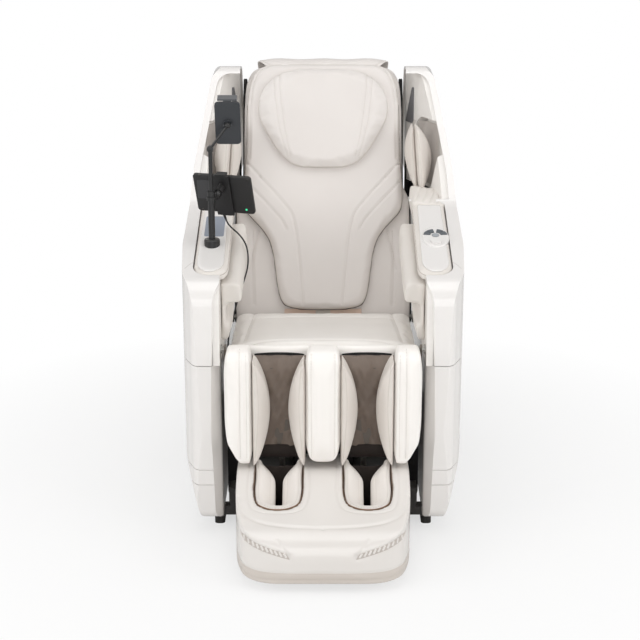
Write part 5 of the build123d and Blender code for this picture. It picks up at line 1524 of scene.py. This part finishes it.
for side_name, side in sides:
    ring = even(well_ring(-0.0012, 0.003), 0.003)
    count = len(ring)

    def edge_spot(u, v):
        p = ring[min(count - 1, int(round(u * (count - 1))))]
        return Vector((side * p.x, p.y, foot_top(p.y) + 0.001 - 0.016 * v))

    strip = moulded_sheet(side_name + "_well_edge", edge_spot, count - 1, 4, 0.0016)
    dress(strip, bronze, "footrest")

    inner = even(well_ring(-0.0045, 0.003), 0.003)
    inner_count = len(inner)

    def boot_spot(u, v):
        p = inner[min(inner_count - 1, int(round(u * (inner_count - 1))))]
        y_gap = max(-0.47, min(-0.345, p.y + 0.02))
        reach = gap_half(y_gap)
        toe = max(0.0, min(1.0, (-0.478 - p.y) / 0.05))
        x_gap = well_mid + (reach if p.x > well_mid else -reach) * (1 - toe) + (p.x - well_mid) * 0.17 * toe
        low = Vector((x_gap, y_gap, 0.136 + 0.07 * (y_gap + 0.47) / 0.125))
        top = Vector((p.x, p.y, foot_top(p.y) - 0.009 + 0.012 * max(0.0, (p.y + 0.4) / 0.066)))
        if v > 0.8:
            share = (v - 0.8) / 0.2
            spot = low + Vector((0, 0, -0.06 * share))
        else:
            share = v / 0.8
            spot = top.lerp(low, share) + Vector((0, 0, 0.012 * sin(pi * share) ** 0.8))
        return Vector((side * spot.x, spot.y, spot.z))

    boot = moulded_sheet(side_name + "_foot_boot", boot_spot, inner_count - 1, 20, 0.004)
    for k, v in enumerate((0.14, 0.2, 0.56, 0.62)):
        run = [boot_spot(u / 60, v) + Vector((0, 0, 0.003)) for u in range(2, 59)]
        laid = nearest_on(boot, even(run, seam_pitch))
        press_seam(boot, laid, 0.002, 0.0009)
        if k in (0, 3):
            sew(f"{side_name}_boot_seam_{k}", nearest_on(boot, even(run, seam_pitch)), body="footrest")
    dress(boot, boot_hide, "footrest", stands_for=side_name + "_foot_liner")

    # A dark brown sheet on the rear wall of the well paints the shade seen through the gap.
    heel_cloth_painted_shade = moulded_sheet(
        side_name + "_heel_cloth_painted_shade",
        lambda u, v: Vector(
            (
                side * (well_in + 0.004 + 0.122 * u),
                -0.3375 - 0.006 * sin(pi * u) + 0.002 * sin(15 * u + 9 * v), 0.078 + 0.128 * v
            )
        ),
        20, 16, 0.0016,
    )
    dress(heel_cloth_painted_shade, dark_gap_painted_shade, "footrest")

# ---- Dust cloth and calf hem ----
# A black cloth closes the base behind the calf rest, painting the shade in the gap
# beside the seat, and a padded roll in dark brown cloth, partly painted shade,
# covers the lower edge of each leg channel.
for side_name, side in sides:
    # A black sheet in the gap beside the seat paints the shade there.
    guard = moulded_sheet(
        side_name + "_dust_cloth_painted_gap_shade",
        lambda u, v: Vector((side * (0.2 + 0.066 * u), -0.2 + 0.003 * sin(9 * v), 0.06 + 0.39 * v)),
        6, 24, 0.0016,
    )
    dress(guard, black_felt_painted_gap_shade, "base")
    # A near-black roll at the foot of each leg channel; its dark brown is partly painted shade.
    hem_roll = moulded_sheet(
        side_name + "_calf_hem_roll",
        lambda u, v: Vector(
            (
                side * (0.046 + 0.142 * u), -0.3035 - 0.0065 * sin(pi * v) - 0.001 * sin(21 * u),
                0.2145 + 0.038 * v
            )
        ),
        30, 6, 0.002,
    )
    dress(hem_roll, dark_gap_painted_shade, "calf_rest")

# ---- Arm plate and shell seams ----
# The stand's armrest carries a glossy blue-grey plate behind the tablet. The
# shells meet in fine closed joints that run just inside their rims.
plate_blue = moulded_finish(
    "plate_blue_grey", (146, 154, 167), (136, 144, 158), 0.14, spread=0.05, grain=600.0, dust=0.03, bump=0.02,
    coat=0.6, coat_roughness=0.06
)
arm_plate = panel_on(
    "right_arm_gloss_plate",
    bpy.data.objects["right_arm_top_pad"],
    lambda u, v: Vector((-0.268 - 0.062 * u, -0.095 + 0.125 * v, 0.95)),
    (0, 0, -1),
    12, 20,
    lambda u, v: 0.0006 + 0.0022 * min(1.0, 12 * min(u, 1 - u, v, 1 - v)),
    0.0014,
)
dress(arm_plate, plate_blue, "base")


def unbroken(laid, gap=0.025):
    """The longest stretch of a laid line that has no jump in it."""
    stretches = [[laid[0]]]
    for last, spot in zip(laid, laid[1:]):
        if (spot[0] - last[0]).length > gap:
            stretches.append([])
        stretches[-1].append(spot)
    return max(stretches, key=len)


joint_shade = moulded_finish(
    "joint_shade", (188, 182, 176), (174, 168, 162), 0.6, spread=0.05, grain=900.0, dust=0.1, bump=0.1
)
for side_name, side in sides:
    wing_run = [
        (side * x, -0.3, z) for x, z in ((0.3745, 0.87), (0.3665, 0.95), (0.3535, 1.04), (0.333, 1.125))
    ]
    wing_line = drop_on(cad[side_name + "_upper_shell"], walk(wing_run, 0.006), toward_back)
    bead(side_name + "_wing_joint", unbroken(wing_line), 0.0007, "base", joint_shade, sunk=0.5)
    front_run = [
        (side * x, y, 0.95)
        for x, y in (
            (0.2605, -0.2), (0.264, -0.262), (0.276, -0.292), (0.302, -0.305), (0.334, -0.294),
            (0.354, -0.25), (0.3635, -0.16), (0.366, -0.05), (0.366, 0.05)
        )
    ]
    front_line = drop_on(cad[side_name + "_side_cover"], walk(front_run, 0.006), (0, 0, -1))
    bead(side_name + "_cover_joint", unbroken(front_line), 0.0007, "base", joint_shade, sunk=0.5)

# ---- Tablet fittings ----
# The tablet's rear case has a bare matt plate, a green charging lamp and three
# small rubber feet, all set into its moulding.
plate_grey = moulded_finish(
    "plate_grey", (58, 58, 60), (48, 48, 50), 0.5, spread=0.08, grain=900.0, dust=0.05, bump=0.1
)
bare_plate = panel_on(
    "tablet_bare_plate",
    cad["tablet"],
    lambda u, v: Vector((-0.343 + 0.036 * u, -0.4, 0.876 + 0.058 * v)),
    toward_back,
    6, 8,
    lambda u, v: 0.0006,
    0.0008,
)
dress(bare_plate, plate_grey, "tablet")
lamp_spot, lamp_way = drop_on(cad["tablet"], [Vector((-0.2085, -0.4, 0.851))], toward_back)[0]
charge_lamp = turned(
    "charge_lamp", [(-0.0005, 0.003), (0.0003, 0.003), (0.001, 0.0025), (0.0015, 0.0014), (0.0017, 0.0004)],
    lamp_spot, lamp_way
)
lit_green, _, lit_shader = new_finish("lit_green")
lit_shader.inputs["Base Color"].default_value = linear(60, 190, 140)
lit_shader.inputs["Emission Color"].default_value = linear(70, 210, 150)
lit_shader.inputs["Emission Strength"].default_value = 0.8
lit_shader.inputs["Roughness"].default_value = 0.2
dress(charge_lamp, lit_green, "tablet")
for k, (x, z) in enumerate(((-0.335, 0.948), (-0.205, 0.942), (-0.33, 0.842))):
    foot_spot, foot_way = drop_on(cad["tablet"], [Vector((x, -0.4, z))], toward_back)[0]
    foot = turned(
        f"tablet_foot_{k}", [(-0.0006, 0.0038), (0.0004, 0.0036), (0.0011, 0.0028), (0.0012, 0.0006)],
        foot_spot, foot_way
    )
    dress(foot, foot_rubber, "tablet")

# ---- Rear of the shell ----
# The back shell is screwed on with eight dished screws, and warm air leaves
# through rows of slots over the mechanism, drawn as black strips that paint the
# shade inside them.
screw_steel = steel_finish("screw_steel", (150, 150, 148), (120, 118, 112), 0.35, 0.3)
for k, (x, up) in enumerate(
    [(side * x, up) for side in (-1, 1) for x, up in ((0.17, 0.1), (0.19, 0.3), (0.19, 0.5), (0.15, 0.68))]
):
    start = on_back(x, up, -0.5)
    screw_at, screw_way = drop_on(cad["back_shell"], [start], out_back)[0]
    screw = turned(
        f"back_screw_{k}",
        [(-0.001, 0.0046), (0.001, 0.0042), (0.0018, 0.003), (0.0016, 0.0016), (0.0006, 0.0012)], screw_at,
        screw_way
    )
    dress(screw, screw_steel, "backrest")
# Black strips paint the shade inside the air slots.
for k in range(7):
    up = 0.2 + 0.022 * k
    slot_line = panel_on(
        f"back_air_slot_{k}",
        cad["back_shell"],
        lambda u, v: on_back(-0.075 + 0.15 * u, up + 0.005 * v, -0.3),
        out_back,
        20, 2,
        lambda u, v: 0.0004,
        0.0008,
    )
    dress(slot_line, black_felt_painted_gap_shade, "backrest")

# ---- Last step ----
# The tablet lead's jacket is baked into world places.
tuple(cable_path[0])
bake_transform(cable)
